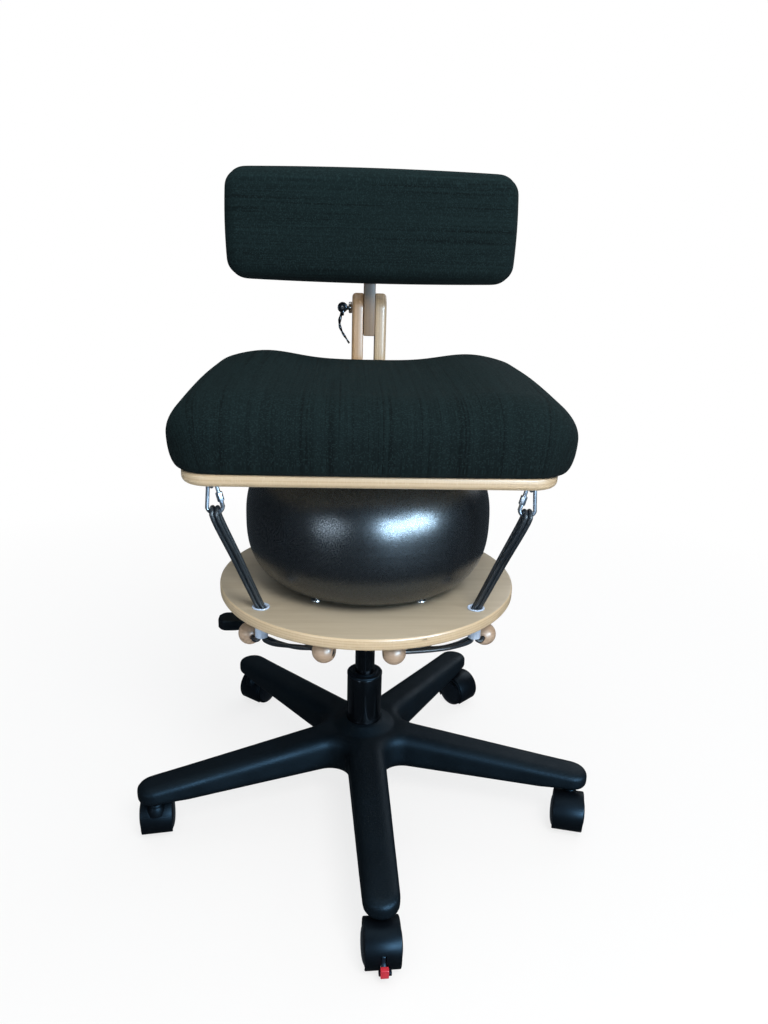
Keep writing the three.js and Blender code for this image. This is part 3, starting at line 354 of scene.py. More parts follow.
def blended(piece, node):
    """Bakes a piece's place into its mesh and hides the node that it stands in for."""
    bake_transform(piece)
    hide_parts(node)


def skin_of(node, material, degrees=30, bevel=0):
    """A copy of a CAD node with its corners merged and shaded smooth, in the node's place."""
    twin = copied(frame["nodes"][node], f"{node}_form")
    twin.parent = None
    for key in list(twin.keys()):
        if key.startswith("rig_"):
            del twin[key]
    edit(twin)
    bpy.ops.mesh.remove_doubles(threshold=0.00001)
    bpy.ops.mesh.tris_convert_to_quads()
    leave_edit()
    if bevel:
        rounded(twin, bevel, 2, 50)
    return dressed(twin, material, node, degrees=degrees, metres=False)


# Finishes


def fill_inputs(tree, node, inputs):
    """Sets each input to its number, vector or colour, or links it where the value is a socket."""
    for socket, value in inputs.items():
        if isinstance(value, bpy.types.NodeSocket):
            tree.links.new(value, node.inputs[socket])
        else:
            node.inputs[socket].default_value = value


def add_node(tree, kind, inputs=None, **settings):
    node = tree.nodes.new(kind)
    for key, value in settings.items():
        setattr(node, key, value)
    fill_inputs(tree, node, inputs or {})
    return node


class Finish:
    """A material under construction: its nodes, its links and its shader."""

    def __init__(self, name, colour, roughness, metallic=0.0):
        self.material = bpy.data.materials.new(name)
        self.material.use_nodes = True
        self.tree = self.material.node_tree
        self.shader = self.tree.nodes["Principled BSDF"]
        self.surface({"Base Color": (*colour, 1), "Roughness": roughness, "Metallic": metallic})
        self.place = self.node("ShaderNodeTexCoord").outputs

    def surface(self, inputs):
        fill_inputs(self.tree, self.shader, inputs)

    def node(self, kind, inputs=None, **settings):
        return add_node(self.tree, kind, inputs, **settings)

    def mapped(self, vector, scale):
        return self.node("ShaderNodeMapping", {"Vector": vector, "Scale": scale}).outputs["Vector"]

    def coordinates(self, scale, attribute=None):
        if attribute:
            source = self.node("ShaderNodeAttribute", attribute_name=attribute).outputs["Vector"]
        else:
            source = self.place["Object"]
        return self.mapped(source, scale)

    def noise(self, vector, scale=1.0, detail=2.0, roughness=0.5):
        inputs = {"Vector": vector, "Scale": scale, "Detail": detail, "Roughness": roughness}
        return self.node("ShaderNodeTexNoise", inputs).outputs["Fac"]

    def cells(self, vector, scale=1.0, randomness=1.0):
        inputs = {"Vector": vector, "Scale": scale, "Randomness": randomness}
        return self.node("ShaderNodeTexVoronoi", inputs).outputs

    def parts_of(self, kind, value):
        return self.node(kind, {0: value}).outputs

    def sum(self, kind, a, b=None):
        inputs = {0: a} if b is None else {0: a, 1: b}
        return self.node("ShaderNodeMath", inputs, operation=kind).outputs[0]

    def spread(self, value, low, high, to_low=0.0, to_high=1.0):
        inputs = {"Value": value, "From Min": low, "From Max": high, "To Min": to_low, "To Max": to_high}
        return self.node("ShaderNodeMapRange", inputs).outputs["Result"]

    def blend(self, factor, a, b):
        node = self.node("ShaderNodeMix", data_type="RGBA")
        enabled = [i for i, socket in enumerate(node.inputs) if socket.enabled]
        values = [(*v, 1) if isinstance(v, tuple) and len(v) == 3 else v for v in (factor, a, b)]
        fill_inputs(self.tree, node, dict(zip(enabled, values)))
        return next(socket for socket in node.outputs if socket.enabled)

    def bump(self, height, strength, distance):
        inputs = {"Height": height, "Strength": strength, "Distance": distance}
        self.surface({"Normal": self.node("ShaderNodeBump", inputs).outputs["Normal"]})


def scaled_by(colour, factor, lift=0.0):
    return tuple(c * factor + lift for c in colour)


def moulded(name, colour, roughness, grain, depth, coat=0.0, gloss=0.25):
    """Moulded plastic: a fine pebbled grain, a little uneven in its gloss."""
    f = Finish(name, colour, roughness)
    fine = f.noise(f.coordinates((grain, grain, grain)), detail=3, roughness=0.6)
    broad = f.noise(f.coordinates((24, 24, 24)), detail=2)
    f.surface({
        "Roughness": f.spread(broad, 0.3, 0.7, roughness - 0.05, roughness + 0.07),
        "Base Color": f.blend(f.spread(fine, 0.35, 0.75, 0, 0.5), colour, scaled_by(colour, 1.5, 0.002)),
        "Coat Weight": coat, "Coat Roughness": 0.08,
        "Specular IOR Level": gloss, "Specular Tint": (0.42, 0.72, 1.0, 1),
    })
    f.bump(fine, depth, 0.0004)
    return f.material


def metal(name, colour, roughness, grain=900, worn=0.12):
    """Metal with fine marks and a soft change of gloss."""
    f = Finish(name, colour, roughness, 1.0)
    marks = f.noise(f.coordinates((grain, grain, grain)), detail=3)
    broad = f.noise(f.coordinates((60, 60, 60)), detail=3)
    f.surface({
        "Roughness": f.spread(broad, 0.3, 0.7, roughness, roughness + worn),
        "Base Color": f.blend(f.spread(broad, 0.42, 0.72), colour, scaled_by(colour, 0.62)),
    })
    f.bump(marks, 0.12, 0.0001)
    return f.material


def enamel(name, colour, roughness, coat):
    """Painted steel: smooth, glossy, with a little orange peel."""
    f = Finish(name, colour, roughness)
    peel = f.noise(f.coordinates((420, 420, 420)), detail=1)
    broad = f.noise(f.coordinates((30, 30, 30)), detail=3)
    f.surface({
        "Base Color": f.blend(f.spread(broad, 0.35, 0.75, 0, 0.6), colour, scaled_by(colour, 1.8, 0.002)),
        "Specular IOR Level": 0.3, "Specular Tint": (0.6, 0.8, 1.0, 1),
        "Coat Weight": coat, "Coat Roughness": 0.06,
    })
    f.bump(peel, 0.06, 0.0003)
    return f.material


def plywood(name, ply, along, faces, plies, pitch, gloss, seed):
    """Birch plywood: veneer grain on its faces, and the stacked plies on its edges.
    ply is the axis through the plies and along the axis of the face grain, as 0, 1 or 2."""
    f = Finish(name, faces[0], gloss)
    shift = f.node(
        "ShaderNodeVectorMath", {0: f.place["Object"], 1: (seed, seed * 0.7, seed * 1.3)}, operation="ADD")

    def stretched(scale, axis, axis_scale):
        scales = [scale] * 3
        scales[axis] = axis_scale
        return f.mapped(shift.outputs[0], scales)

    grain = f.noise(stretched(95.0, along, 5.0), detail=4, roughness=0.65)
    streak = f.noise(stretched(14.0, along, 1.3), detail=3)
    face = f.blend(f.spread(grain, 0.35, 0.72), faces[0], faces[1])
    face = f.blend(f.spread(streak, 0.45, 0.7, 0, 0.55), face, faces[2])
    apart = f.parts_of("ShaderNodeSeparateXYZ", f.place["Object"])
    wander = f.noise(stretched(12, ply, 12), detail=2)
    height = f.sum("ADD", apart[ply], f.sum("MULTIPLY", wander, pitch * 0.45))
    wave = f.sum("SINE", f.sum("MULTIPLY", height, TURN / (2 * pitch)))
    flecks = f.noise(stretched(700.0, ply, 160.0), detail=2)
    edge = f.blend(f.spread(wave, 0.1, 0.9, 0, 0.5), plies[0], plies[1])
    edge = f.blend(f.spread(flecks, 0.5, 0.75, 0, 0.35), edge, plies[2])
    normal = f.parts_of("ShaderNodeSeparateXYZ", f.place["Normal"])
    flat = f.spread(f.sum("ABSOLUTE", normal[ply]), 0.62, 0.86)
    f.surface({"Base Color": f.blend(flat, edge, face), "Coat Weight": 0.25, "Coat Roughness": 0.2})
    f.bump(f.sum("ADD", f.sum("MULTIPLY", grain, 0.7), f.sum("MULTIPLY", wave, 0.12)), 0.12, 0.0004)
    return f.material


def beech_wood():
    f = Finish("turned_beech", (0.50, 0.36, 0.25), 0.42)
    grain = f.noise(f.coordinates((60, 60, 420)), detail=3)
    broad = f.noise(f.coordinates((30, 30, 40)), detail=2)
    tone = f.blend(f.spread(grain, 0.35, 0.7), (0.51, 0.38, 0.275), (0.41, 0.285, 0.19))
    tone = f.blend(f.spread(broad, 0.4, 0.7, 0, 0.5), tone, (0.56, 0.44, 0.33))
    f.surface({"Base Color": tone, "Coat Weight": 0.2, "Coat Roughness": 0.25})
    f.bump(grain, 0.1, 0.0003)
    return f.material


def woven_cover(name, painted_shade=1.0):
    """Coarse weave with slubs: the first weave coordinate runs across the thick threads."""
    # painted_shade darkens this copy of the fabric as painted shade; it is below 1 for a cushion that takes
    # less light.
    base = scaled_by(colours().fabric, painted_shade)
    f = Finish(name, base, 0.92)
    slubs = f.noise(f.coordinates((230, 2.5, 2.5), "weave"), detail=2, roughness=0.7)
    bands = f.noise(f.coordinates((300, 2, 2), "weave"), detail=3, roughness=0.7)
    threads = f.cells(f.coordinates((760, 900, 1), "weave"), 1.0, 0.2)
    tone = f.blend(f.spread(bands, 0.36, 0.66), scaled_by(base, 0.74), scaled_by(base, 1.2))
    tone = f.blend(f.spread(slubs, 0.56, 0.63, 0, sizes().slub), tone, scaled_by(base, 0.25))
    fleck = f.parts_of("ShaderNodeSeparateColor", threads["Color"])[0]
    tone = f.blend(f.spread(fleck, 0.6, 1.0, 0, 0.55), tone, scaled_by(base, 2.4, 0.002))
    f.surface({
        "Base Color": tone, "Sheen Weight": 0.01, "Sheen Roughness": 0.5,
        "Sheen Tint": (0.45, 0.75, 0.8, 1), "Specular IOR Level": 0.06,
    })
    height = f.sum("ADD", f.sum("MULTIPLY", threads["Distance"], -0.9), f.sum("MULTIPLY", slubs, 0.8))
    f.bump(height, 0.35, 0.0005)
    return f.material


def ball_skin():
    base = tuple(colours().ball)
    f = Finish("ball_skin", base, 0.34)
    speckle = f.cells(f.coordinates((1, 1, 1)), 1500, 1.0)
    bright = f.parts_of("ShaderNodeSeparateColor", speckle["Color"])
    mottled = f.noise(f.coordinates((14, 14, 14)), detail=3)
    tone = f.blend(f.spread(mottled, 0.35, 0.7), base, scaled_by(base, 1.5))
    f.surface({
        "Base Color": f.blend(f.spread(bright[0], 0.72, 1.0, 0, 0.35), tone, (0.04, 0.045, 0.055)),
        "Roughness": f.spread(bright[1], 0.0, 1.0, 0.22, 0.34),
        "Specular IOR Level": 0.95, "Specular Tint": (0.82, 0.92, 1.0, 1),
    })
    f.bump(speckle["Distance"], 0.25, 0.0003)
    return f.material


def elastic_cord():
    f = Finish("elastic_sheath", (0.012, 0.018, 0.027), 0.36)
    wound = f.coordinates((5, 900, 1), "wound")
    ribs = f.node(
        "ShaderNodeTexWave", {"Vector": wound, "Scale": 0.5}, wave_type="BANDS", bands_direction="DIAGONAL")
    strands = f.noise(f.coordinates((9, 60, 1), "wound"), detail=2)
    tone = f.blend(f.spread(strands, 0.42, 0.62), (0.004, 0.007, 0.011), (0.020, 0.034, 0.052))
    f.surface({"Base Color": tone, "Specular IOR Level": 0.7})
    f.bump(f.sum("ADD", ribs.outputs["Fac"], strands), 0.25, 0.0003)
    return f.material


FINISHES = {}


def finish(name):
    """Each finish is made once, the first time that a piece asks for it."""
    if name not in FINISHES:
        birch = tuple(colours().birch)
        pale = [birch, (0.53, 0.425, 0.285), (0.66, 0.57, 0.42)]
        cool = [(0.52, 0.455, 0.345), (0.455, 0.39, 0.285), (0.57, 0.51, 0.40)]
        edge = [(0.66, 0.53, 0.35), (0.50, 0.36, 0.20), (0.76, 0.66, 0.48)]
        # The left upright's warm, streaky wood tones are its own; they are darkened further as painted shade
        # for the shade it stands in.
        brown_shaded_faces = [(0.52, 0.34, 0.19), (0.38, 0.22, 0.10), (0.60, 0.43, 0.27)]
        brown_shaded_edges = [(0.62, 0.42, 0.24), (0.46, 0.27, 0.12), (0.70, 0.52, 0.33)]
        # The back post's tones are birch darkened as painted shade, for the shade that the back cushion casts
        # on it.
        post_shaded_tones = [(0.34, 0.235, 0.14), (0.27, 0.175, 0.10), (0.40, 0.29, 0.18)]
        maker, *details = {
            "nylon": (moulded, "moulded_nylon", tuple(colours().nylon), 0.52, 480, 1.0),
            "hood": (moulded, "satin_hood", (0.0022, 0.0032, 0.0050), 0.4, 900, 0.3, 0, 0.16),
            "cap": (moulded, "gloss_cap", (0.002, 0.003, 0.005), 0.12, 300, 0.02, 0.5, 0.5),
            "tread": (moulded, "tread", (0.005, 0.006, 0.008), 0.55, 900, 0.2),
            "red": (moulded, "red_tab", (0.52, 0.03, 0.045), 0.38, 900, 0.1, 0.2),
            "pedal": (moulded, "pedal_black", (0.005, 0.007, 0.012), 0.4, 1200, 0.12),
            "enamel": (enamel, "black_enamel", (0.0015, 0.0022, 0.0034), 0.2, 0.25),
            "plate": (enamel, "plate_paint", (0.055, 0.075, 0.11), 0.4, 0.2),
            "black": (moulded, "black_moulding", (0.004, 0.005, 0.007), 0.42, 1000, 0.2),
            "paddle": (moulded, "paddle", (0.004, 0.005, 0.006), 0.35, 900, 0.15),
            "steel": (metal, "bright_steel", (0.62, 0.64, 0.67), 0.2),
            "zinc": (metal, "zinc_plate", (0.42, 0.47, 0.54), 0.24, 700, 0.2),
            "chrome": (metal, "chrome", (0.78, 0.80, 0.82), 0.07, 900, 0.05),
            "white": (moulded, "white_sleeve", (0.50, 0.63, 0.83), 0.3, 500, 0.05, 0.3),
            "disc": (plywood, "birch_disc", 2, 0, cool, edge, 0.0017, 0.36, 0.3),
            "seat_board": (plywood, "birch_seat_board", 2, 0, pale, edge, 0.0026, 0.45, 1.7),
            # The left upright's finish holds painted shade: its warm tones are darkened.
            "left": (plywood, "warm_upright", 0, 2, brown_shaded_faces, brown_shaded_edges, 0.0030, 0.42, 3.1),
            "right": (plywood, "pale_upright", 0, 2, pale, edge, 0.0019, 0.42, 4.4),
            # The back post's finish holds painted shade in its darkened tones.
            "post": (plywood, "grey_post", 0, 2, post_shaded_tones, post_shaded_tones, 0.0028, 0.5, 5.2),
            "back_board": (plywood, "birch_back_board", 1, 0, pale, edge, 0.0018, 0.45, 6.6),
            "beech": (beech_wood,),
            "ball": (ball_skin,),
            "elastic": (elastic_cord,),
            # The seat's cover is the back's fabric darkened to 0.76 as painted shade.
            "seat_cover": (woven_cover, "seat_cover", 0.76),
            "back_cover": (woven_cover, "back_cover"),
        }[name]
        FINISHES[name] = maker(*details)
    return FINISHES[name]


# Places and sizes shared by the pieces, in millimetres and degrees

GAP = 0.3
RUNNING = 0.5
DISC_TOP, DISC_BOTTOM, DISC_RADIUS = 347, 332, 200
BALL_BOTTOM, BALL_TOP = 347.3, 522.2
BALL_MIDDLE = (BALL_BOTTOM + BALL_TOP) / 2
SEAT_BOTTOM, SEAT_TOP = 522.5, 537.5
CORD_SPLIT = 416
BACK_SHIFT = 2.5
TIMBER, TIMBER_DEPTH = 17, 45
UPRIGHT_FRONT, UPRIGHT_INNER = 212, 9
UPRIGHT_OUTER = UPRIGHT_INNER + TIMBER
POST_FRONT = UPRIGHT_FRONT - 3
BOARD_REAR, BOARD_THICKNESS = POST_FRONT - GAP, 11
CLAMP_HEIGHT, CLAMP_Y = 690, 234.5
LEG_TURN = -TURN / 4 + radians(2.7)
TUBE_RADIUS = 25
STEM_REACH = 303
SLEEVE_X, SLEEVE_Y, SLEEVE_END = 135, 112.5, 307
LINK_X, LINK_Y, LINK_Z, LINK_LEAN, LINK_BIG = 180, 150, 482, 5, 9.2
BEAD_RADIUS = 14.6
OUTER_BEAD = (151.6, 96.2, 303.5, 70)
INNER_BEADS = {-1: (-55, -169.5, 316.8, -22), 1: (28.5, -173.5, 316.8, 186)}
BOLTS = [(-67, -90), (67, -90), (67, 90), (-67, 90)]


# Stage


class ChairStage(bpy.types.Operator):
    """Sets the camera, the soft studio light, the pale floor and the white background"""
    bl_idname = "chair.stage"
    bl_label = "Stage"

    def execute(self, context):
        self.set_camera(context.scene)
        self.set_lamps()
        self.set_world(context.scene)
        self.lay_floor()
        context.scene.view_settings.view_transform = "Standard"
        return {"FINISHED"}

    def set_camera(self, scene):
        yaw, pitch, roll = radians(3.13), radians(-18.0), radians(1.63)
        ahead = Vector((math.sin(yaw) * math.cos(pitch), math.cos(yaw) * math.cos(pitch), math.sin(pitch)))
        level = Vector((math.cos(yaw), -math.sin(yaw), 0))
        above = level.cross(ahead)
        right = math.cos(roll) * level + math.sin(roll) * above
        up = math.cos(roll) * above - math.sin(roll) * level
        place = FROM_MM @ Vector((-34.9, -1029.4, 772))
        clear_selection()
        bpy.ops.object.camera_add(location=place)
        camera = bpy.context.object
        camera.name = "photo_camera"
        camera.data.sensor_fit = "VERTICAL"
        camera.data.sensor_height = 32
        camera.data.lens = 24.978
        camera.data.clip_start = 0.02
        turn = Matrix((right, up, -ahead)).transposed().to_4x4()
        camera.matrix_world = Matrix.Translation(place) @ turn
        scene.camera = camera

    def set_lamps(self):
        # Name, place and target in millimetres, size, watts, colour, and the rays that meet the lamp
        rows = [
            ("window_near", (885, -2270, 800), (26, -158, 469), (330, 420), 80, (0.62, 0.82, 1.0), "glossy"),
            ("window_far", (1678, -1712, 960), (56, -148, 474), (330, 420), 80, (0.64, 0.84, 1.0), "glossy"),
            ("doorway", (-1380, -2028, 640), (-49, -153, 464), (420, 620), 12, (0.8, 0.9, 1.0), "glossy"),
            ("key", (500, -1500, 1800), (0, 0, 480), (800, 800), 30, (1.0, 0.975, 0.94), "diffuse"),
            ("ceiling", (0, -200, 2500), (0, 0, 400), (2600, 2600), 33, (1.0, 0.98, 0.95), "both"),
            ("far_fill", (1500, 1700, 1500), (0, 0, 500), (1500, 1500), 12, (0.95, 0.97, 1.0), "both"),
        ]
        for name, place, target, size, power, colour, seen_by in rows:
            clear_selection()
            at = FROM_MM @ Vector(place)
            bpy.ops.object.light_add(type="AREA", location=at)
            lamp = bpy.context.object
            lamp.name = name
            lamp.data.shape = "RECTANGLE"
            lamp.data.size, lamp.data.size_y = (s / 1000 for s in size)
            lamp.data.energy = power
            lamp.data.color = colour
            lamp.visible_diffuse = seen_by != "glossy"
            lamp.visible_glossy = seen_by != "diffuse"
            lamp.rotation_euler = (FROM_MM @ Vector(target) - at).to_track_quat("-Z", "Y").to_euler()

    def set_world(self, scene):
        world = bpy.data.worlds.new("studio")
        scene.world = world
        world.use_nodes = True
        tree = world.node_tree
        tree.nodes.clear()

        def added(kind, inputs=None, **settings):
            return add_node(tree, kind, inputs, **settings).outputs

        ray = added("ShaderNodeLightPath")
        soft, shiny, seen = (
            added("ShaderNodeBackground", {"Color": (*colour, 1), "Strength": strength})[0]
            for colour, strength in (((0.86, 0.93, 1.0), 0.36), ((0.70, 0.85, 1.0), 0.07), ((1, 1, 1), 1.0)))
        mirror = added(
            "ShaderNodeMath", {0: ray["Is Glossy Ray"], 1: ray["Is Transmission Ray"]}, operation="MAXIMUM")
        unseen = added("ShaderNodeMixShader", {0: mirror[0], 1: soft, 2: shiny})
        both = added("ShaderNodeMixShader", {0: ray["Is Camera Ray"], 1: unseen[0], 2: seen})
        added("ShaderNodeOutputWorld", {0: both[0]})

    def lay_floor(self):
        clear_selection()
        bpy.ops.mesh.primitive_plane_add(size=24, location=(0, 0, 0))
        floor = made("studio_floor")
        floor.visible_glossy = False
        material = bpy.data.materials.new("pale_floor")
        material.use_nodes = True
        tree = material.node_tree
        tree.nodes.clear()

        def added(kind, inputs=None, **settings):
            return add_node(tree, kind, inputs, **settings).outputs

        ray = added("ShaderNodeLightPath")
        matt = added("ShaderNodeBsdfDiffuse", {"Color": (0.82, 0.83, 0.84, 1)})
        glow = added("ShaderNodeEmission", {"Strength": 1.0})
        place = added("ShaderNodeTexCoord")
        distance = added("ShaderNodeVectorMath", {0: place["Object"]}, operation="LENGTH")
        fade = added("ShaderNodeMapRange", {
            "Value": distance["Value"], "From Min": 0.4, "From Max": 1.6, "To Min": 0.78, "To Max": 1.0})
        share = added("ShaderNodeMath", {0: ray["Is Camera Ray"], 1: fade["Result"]}, operation="MULTIPLY")
        blend = added("ShaderNodeMixShader", {0: share[0], 1: matt[0], 2: glow[0]})
        added("ShaderNodeOutputMaterial", {0: blend[0]})
        floor.data.materials.append(material)


# Elastic cords


class ElasticCords(bpy.types.Operator):
    """Models the four elastic cords on their routes, each in a lower and an upper part"""
    bl_idname = "chair.elastic_cords"
    bl_label = "Elastic cords"

    RADIUS, LANE, OVER_HOOK, PAST_SLEEVE, IN_BEAD, LEAD = 2.75, 2.9, 6.8, 2, 2, 6
    MOUTH, FLARE, LIP_SHIFT = 348.6, 2.5, 1.2
    HOOK_X = LINK_X + LINK_BIG * math.sin(radians(LINK_LEAN))
    BLEND_FROM, BLEND_TO = 352, 476
    CROSS_RUN = [
        (0, 150.8, 313.5), (40, 150.8, 312.5), (66, 151.5, 311), (88, 144.5, 308), (112, 126, 304.5),
        (126, 112.5, 303.5), (133.8, 108.8, 304.7),
    ]
    BEAD_RUN = [(138.7, 115.7, 304.6), (141.9, 115.6, 302.9), (145.2, 113.4, 303.3)]
    TAIL_RUN = [(131.55, -115.45, 309), (131.4, -115.9, 304), (126.5, -121, 303.2), (118, -129, 304.4)]
    TAIL_ENDS = {-1: [(98, -147, 311.5)], 1: [(96, -152, 311.5), (72, -164.5, 315)]}

    def execute(self, context):
        for node, route, side in (
            ("front_cord", self.main_route, -1), ("rear_cord", self.main_route, 1),
            ("tail_cord_left", self.tail_route, -1), ("tail_cord_right", self.tail_route, 1),
        ):
            self.build(node, route(side))
        return {"FINISHED"}

    def over_hook(self, sx, sy, lane, bottom):
        x = sx * (SLEEVE_X + lane * self.LANE)
        hook_x = sx * (self.HOOK_X + lane * self.LANE)
        sleeve_y, hook_y = sy * SLEEVE_Y, sy * LINK_Y
        lip = x + sx * self.LIP_SHIFT

        def lean(side, share):
            return (
                mix(lip, hook_x, share),
                mix(sleeve_y + side * self.LANE, hook_y + side * self.OVER_HOOK, share),
                mix(self.MOUTH, LINK_Z, share),
            )

        def straight(side):
            heights = (bottom, DISC_BOTTOM, self.MOUTH - self.FLARE)
            return [(x, sleeve_y + side * self.LANE, z) for z in heights]

        points = straight(sy) + [lean(sy, 0), lean(sy, 0.5)]
        over = arc(0, 0, self.OVER_HOOK, 0, TURN / 2, 6)
        points += [(hook_x, hook_y + sy * a, LINK_Z + z) for a, z in over]
        return points + [lean(-sy, 0.5), lean(-sy, 0)] + straight(-sy)[::-1]

    def half_route(self, sx, sy):
        bead_x, bead_y, bead_z, turned_by = OUTER_BEAD
        facing = radians(turned_by)
        into = [
            (bead_x - back * math.cos(facing), bead_y + back * math.sin(facing), bead_z)
            for back in (BEAD_RADIUS, self.IN_BEAD)
        ]

        def mirrored(points):
            return [(sx * x, sy * y, z) for x, y, z in points]

        climb = self.over_hook(sx, sy, 1, SLEEVE_END + self.PAST_SLEEVE)[::-1]
        return mirrored(self.CROSS_RUN) + climb + mirrored(self.BEAD_RUN + into)

    def main_route(self, sy):
        return self.half_route(-1, sy)[1:][::-1] + self.half_route(1, sy)

    def tail_route(self, sx):
        x, y, z, turned_by = INNER_BEADS[sx]
        facing = radians(turned_by)
        climb = self.over_hook(sx, -1, -1, SLEEVE_END + self.PAST_SLEEVE)[::-1][:-1]
        run = [(sx * px, py, pz) for px, py, pz in self.TAIL_RUN + self.TAIL_ENDS[sx]]
        into = [
            (x - back * math.cos(facing), y - back * math.sin(facing), z)
            for back in (BEAD_RADIUS + self.LEAD, BEAD_RADIUS, 0)
        ]
        return climb + run + into

    def curve(self, points, steps=6):
        """A centripetal curve through the points, the same steps on each stretch."""
        points = [Vector(p) for p in points]
        held = [2 * points[0] - points[1], *points, 2 * points[-1] - points[-2]]
        way = []
        for i in range(1, len(held) - 2):
            p0, p1, p2, p3 = held[i - 1:i + 3]
            d0, d1, d2 = (max((b - a).length, 1e-6) ** 0.5 for a, b in ((p0, p1), (p1, p2), (p2, p3)))
            t1 = ((p1 - p0) / d0 - (p2 - p0) / (d0 + d1) + (p2 - p1) / d1) * d1
            t2 = ((p2 - p1) / d1 - (p3 - p1) / (d1 + d2) + (p3 - p2) / d2) * d1
            for k in range(steps):
                t = k / steps
                way.append(
                    (2 * t ** 3 - 3 * t ** 2 + 1) * p1 + (t ** 3 - 2 * t ** 2 + t) * t1
                    + (3 * t ** 2 - 2 * t ** 3) * p2 + (t ** 3 - t ** 2) * t2)
        way.append(points[-1])
        return way

    def split(self, way):
        """Cuts the way where it crosses the height at which the rocking joint takes over."""
        lower, upper = [], []
        run = [way[0]]
        for a, b in zip(way, way[1:]):
            if (a.z - CORD_SPLIT) * (b.z - CORD_SPLIT) < 0:
                cross = a.lerp(b, (CORD_SPLIT - a.z) / (b.z - a.z))
                (upper if a.z > CORD_SPLIT else lower).append(run + [cross])
                run = [cross]
            run.append(b)
        (upper if way[-1].z > CORD_SPLIT else lower).append(run)
        return lower, upper

    def tubes(self, name, runs):
        sides = sizes().cord_sides
        vertices, faces, wound = [], [], []
        for run in runs:
            first = len(vertices)
            along = 0.0
            lengths = []
            across = Vector((1, 0, 0))
            for i, point in enumerate(run):
                ahead = (run[min(i + 1, len(run) - 1)] - run[max(i - 1, 0)]).normalized()
                across = across - across.dot(ahead) * ahead
                if across.length < 0.05:
                    across = ahead.orthogonal()
                across.normalize()
                other = ahead.cross(across)
                for k in range(sides):
                    angle = TURN * k / sides
                    outwards = math.cos(angle) * across + math.sin(angle) * other
                    vertices.append(point + self.RADIUS * outwards)
                if i:
                    along += (point - run[i - 1]).length
                lengths.append(along / 1000)
            for i in range(len(run) - 1):
                for k in range(sides):
                    a, b = first + i * sides + k, first + i * sides + (k + 1) % sides
                    faces.append((a, b, b + sides, a + sides))
                    u0, u1 = k / sides, (k + 1) / sides
                    near, far = lengths[i], lengths[i + 1]
                    wound.append([(near, u0), (near, u1), (far, u1), (far, u0)])
            last = first + (len(run) - 1) * sides
            for ring, end in ((range(first + sides - 1, first - 1, -1), 0), (range(last, last + sides), -1)):
                faces.append(tuple(ring))
                wound.append([(lengths[end], 0.5)] * sides)
        mesh = bpy.data.meshes.new(name)
        mesh.from_pydata([tuple(v) for v in vertices], [], faces)
        layer = mesh.uv_layers.new(name="wound")
        flat = [pair for corners in wound for pair in corners]
        for loop, pair in zip(layer.data, flat):
            loop.uv = pair
        piece = bpy.data.objects.new(name, mesh)
        bpy.context.scene.collection.objects.link(piece)
        return piece

    def build(self, node, route):
        lower, upper = self.split(self.curve(route))
        parts = (
            ("lower", lower, ("carrier", "rocker"), self.BLEND_FROM, CORD_SPLIT),
            ("upper", upper, ("rocker", "seat"), CORD_SPLIT, self.BLEND_TO),
        )
        for part, runs, bodies, low, high in parts:
            piece = self.tubes(f"{node}_{part}", runs)
            moved(piece, FROM_MM)
            smoothed(piece, 50)
            piece.data.materials.append(finish("elastic"))
            blended(piece, node)


# Cushions


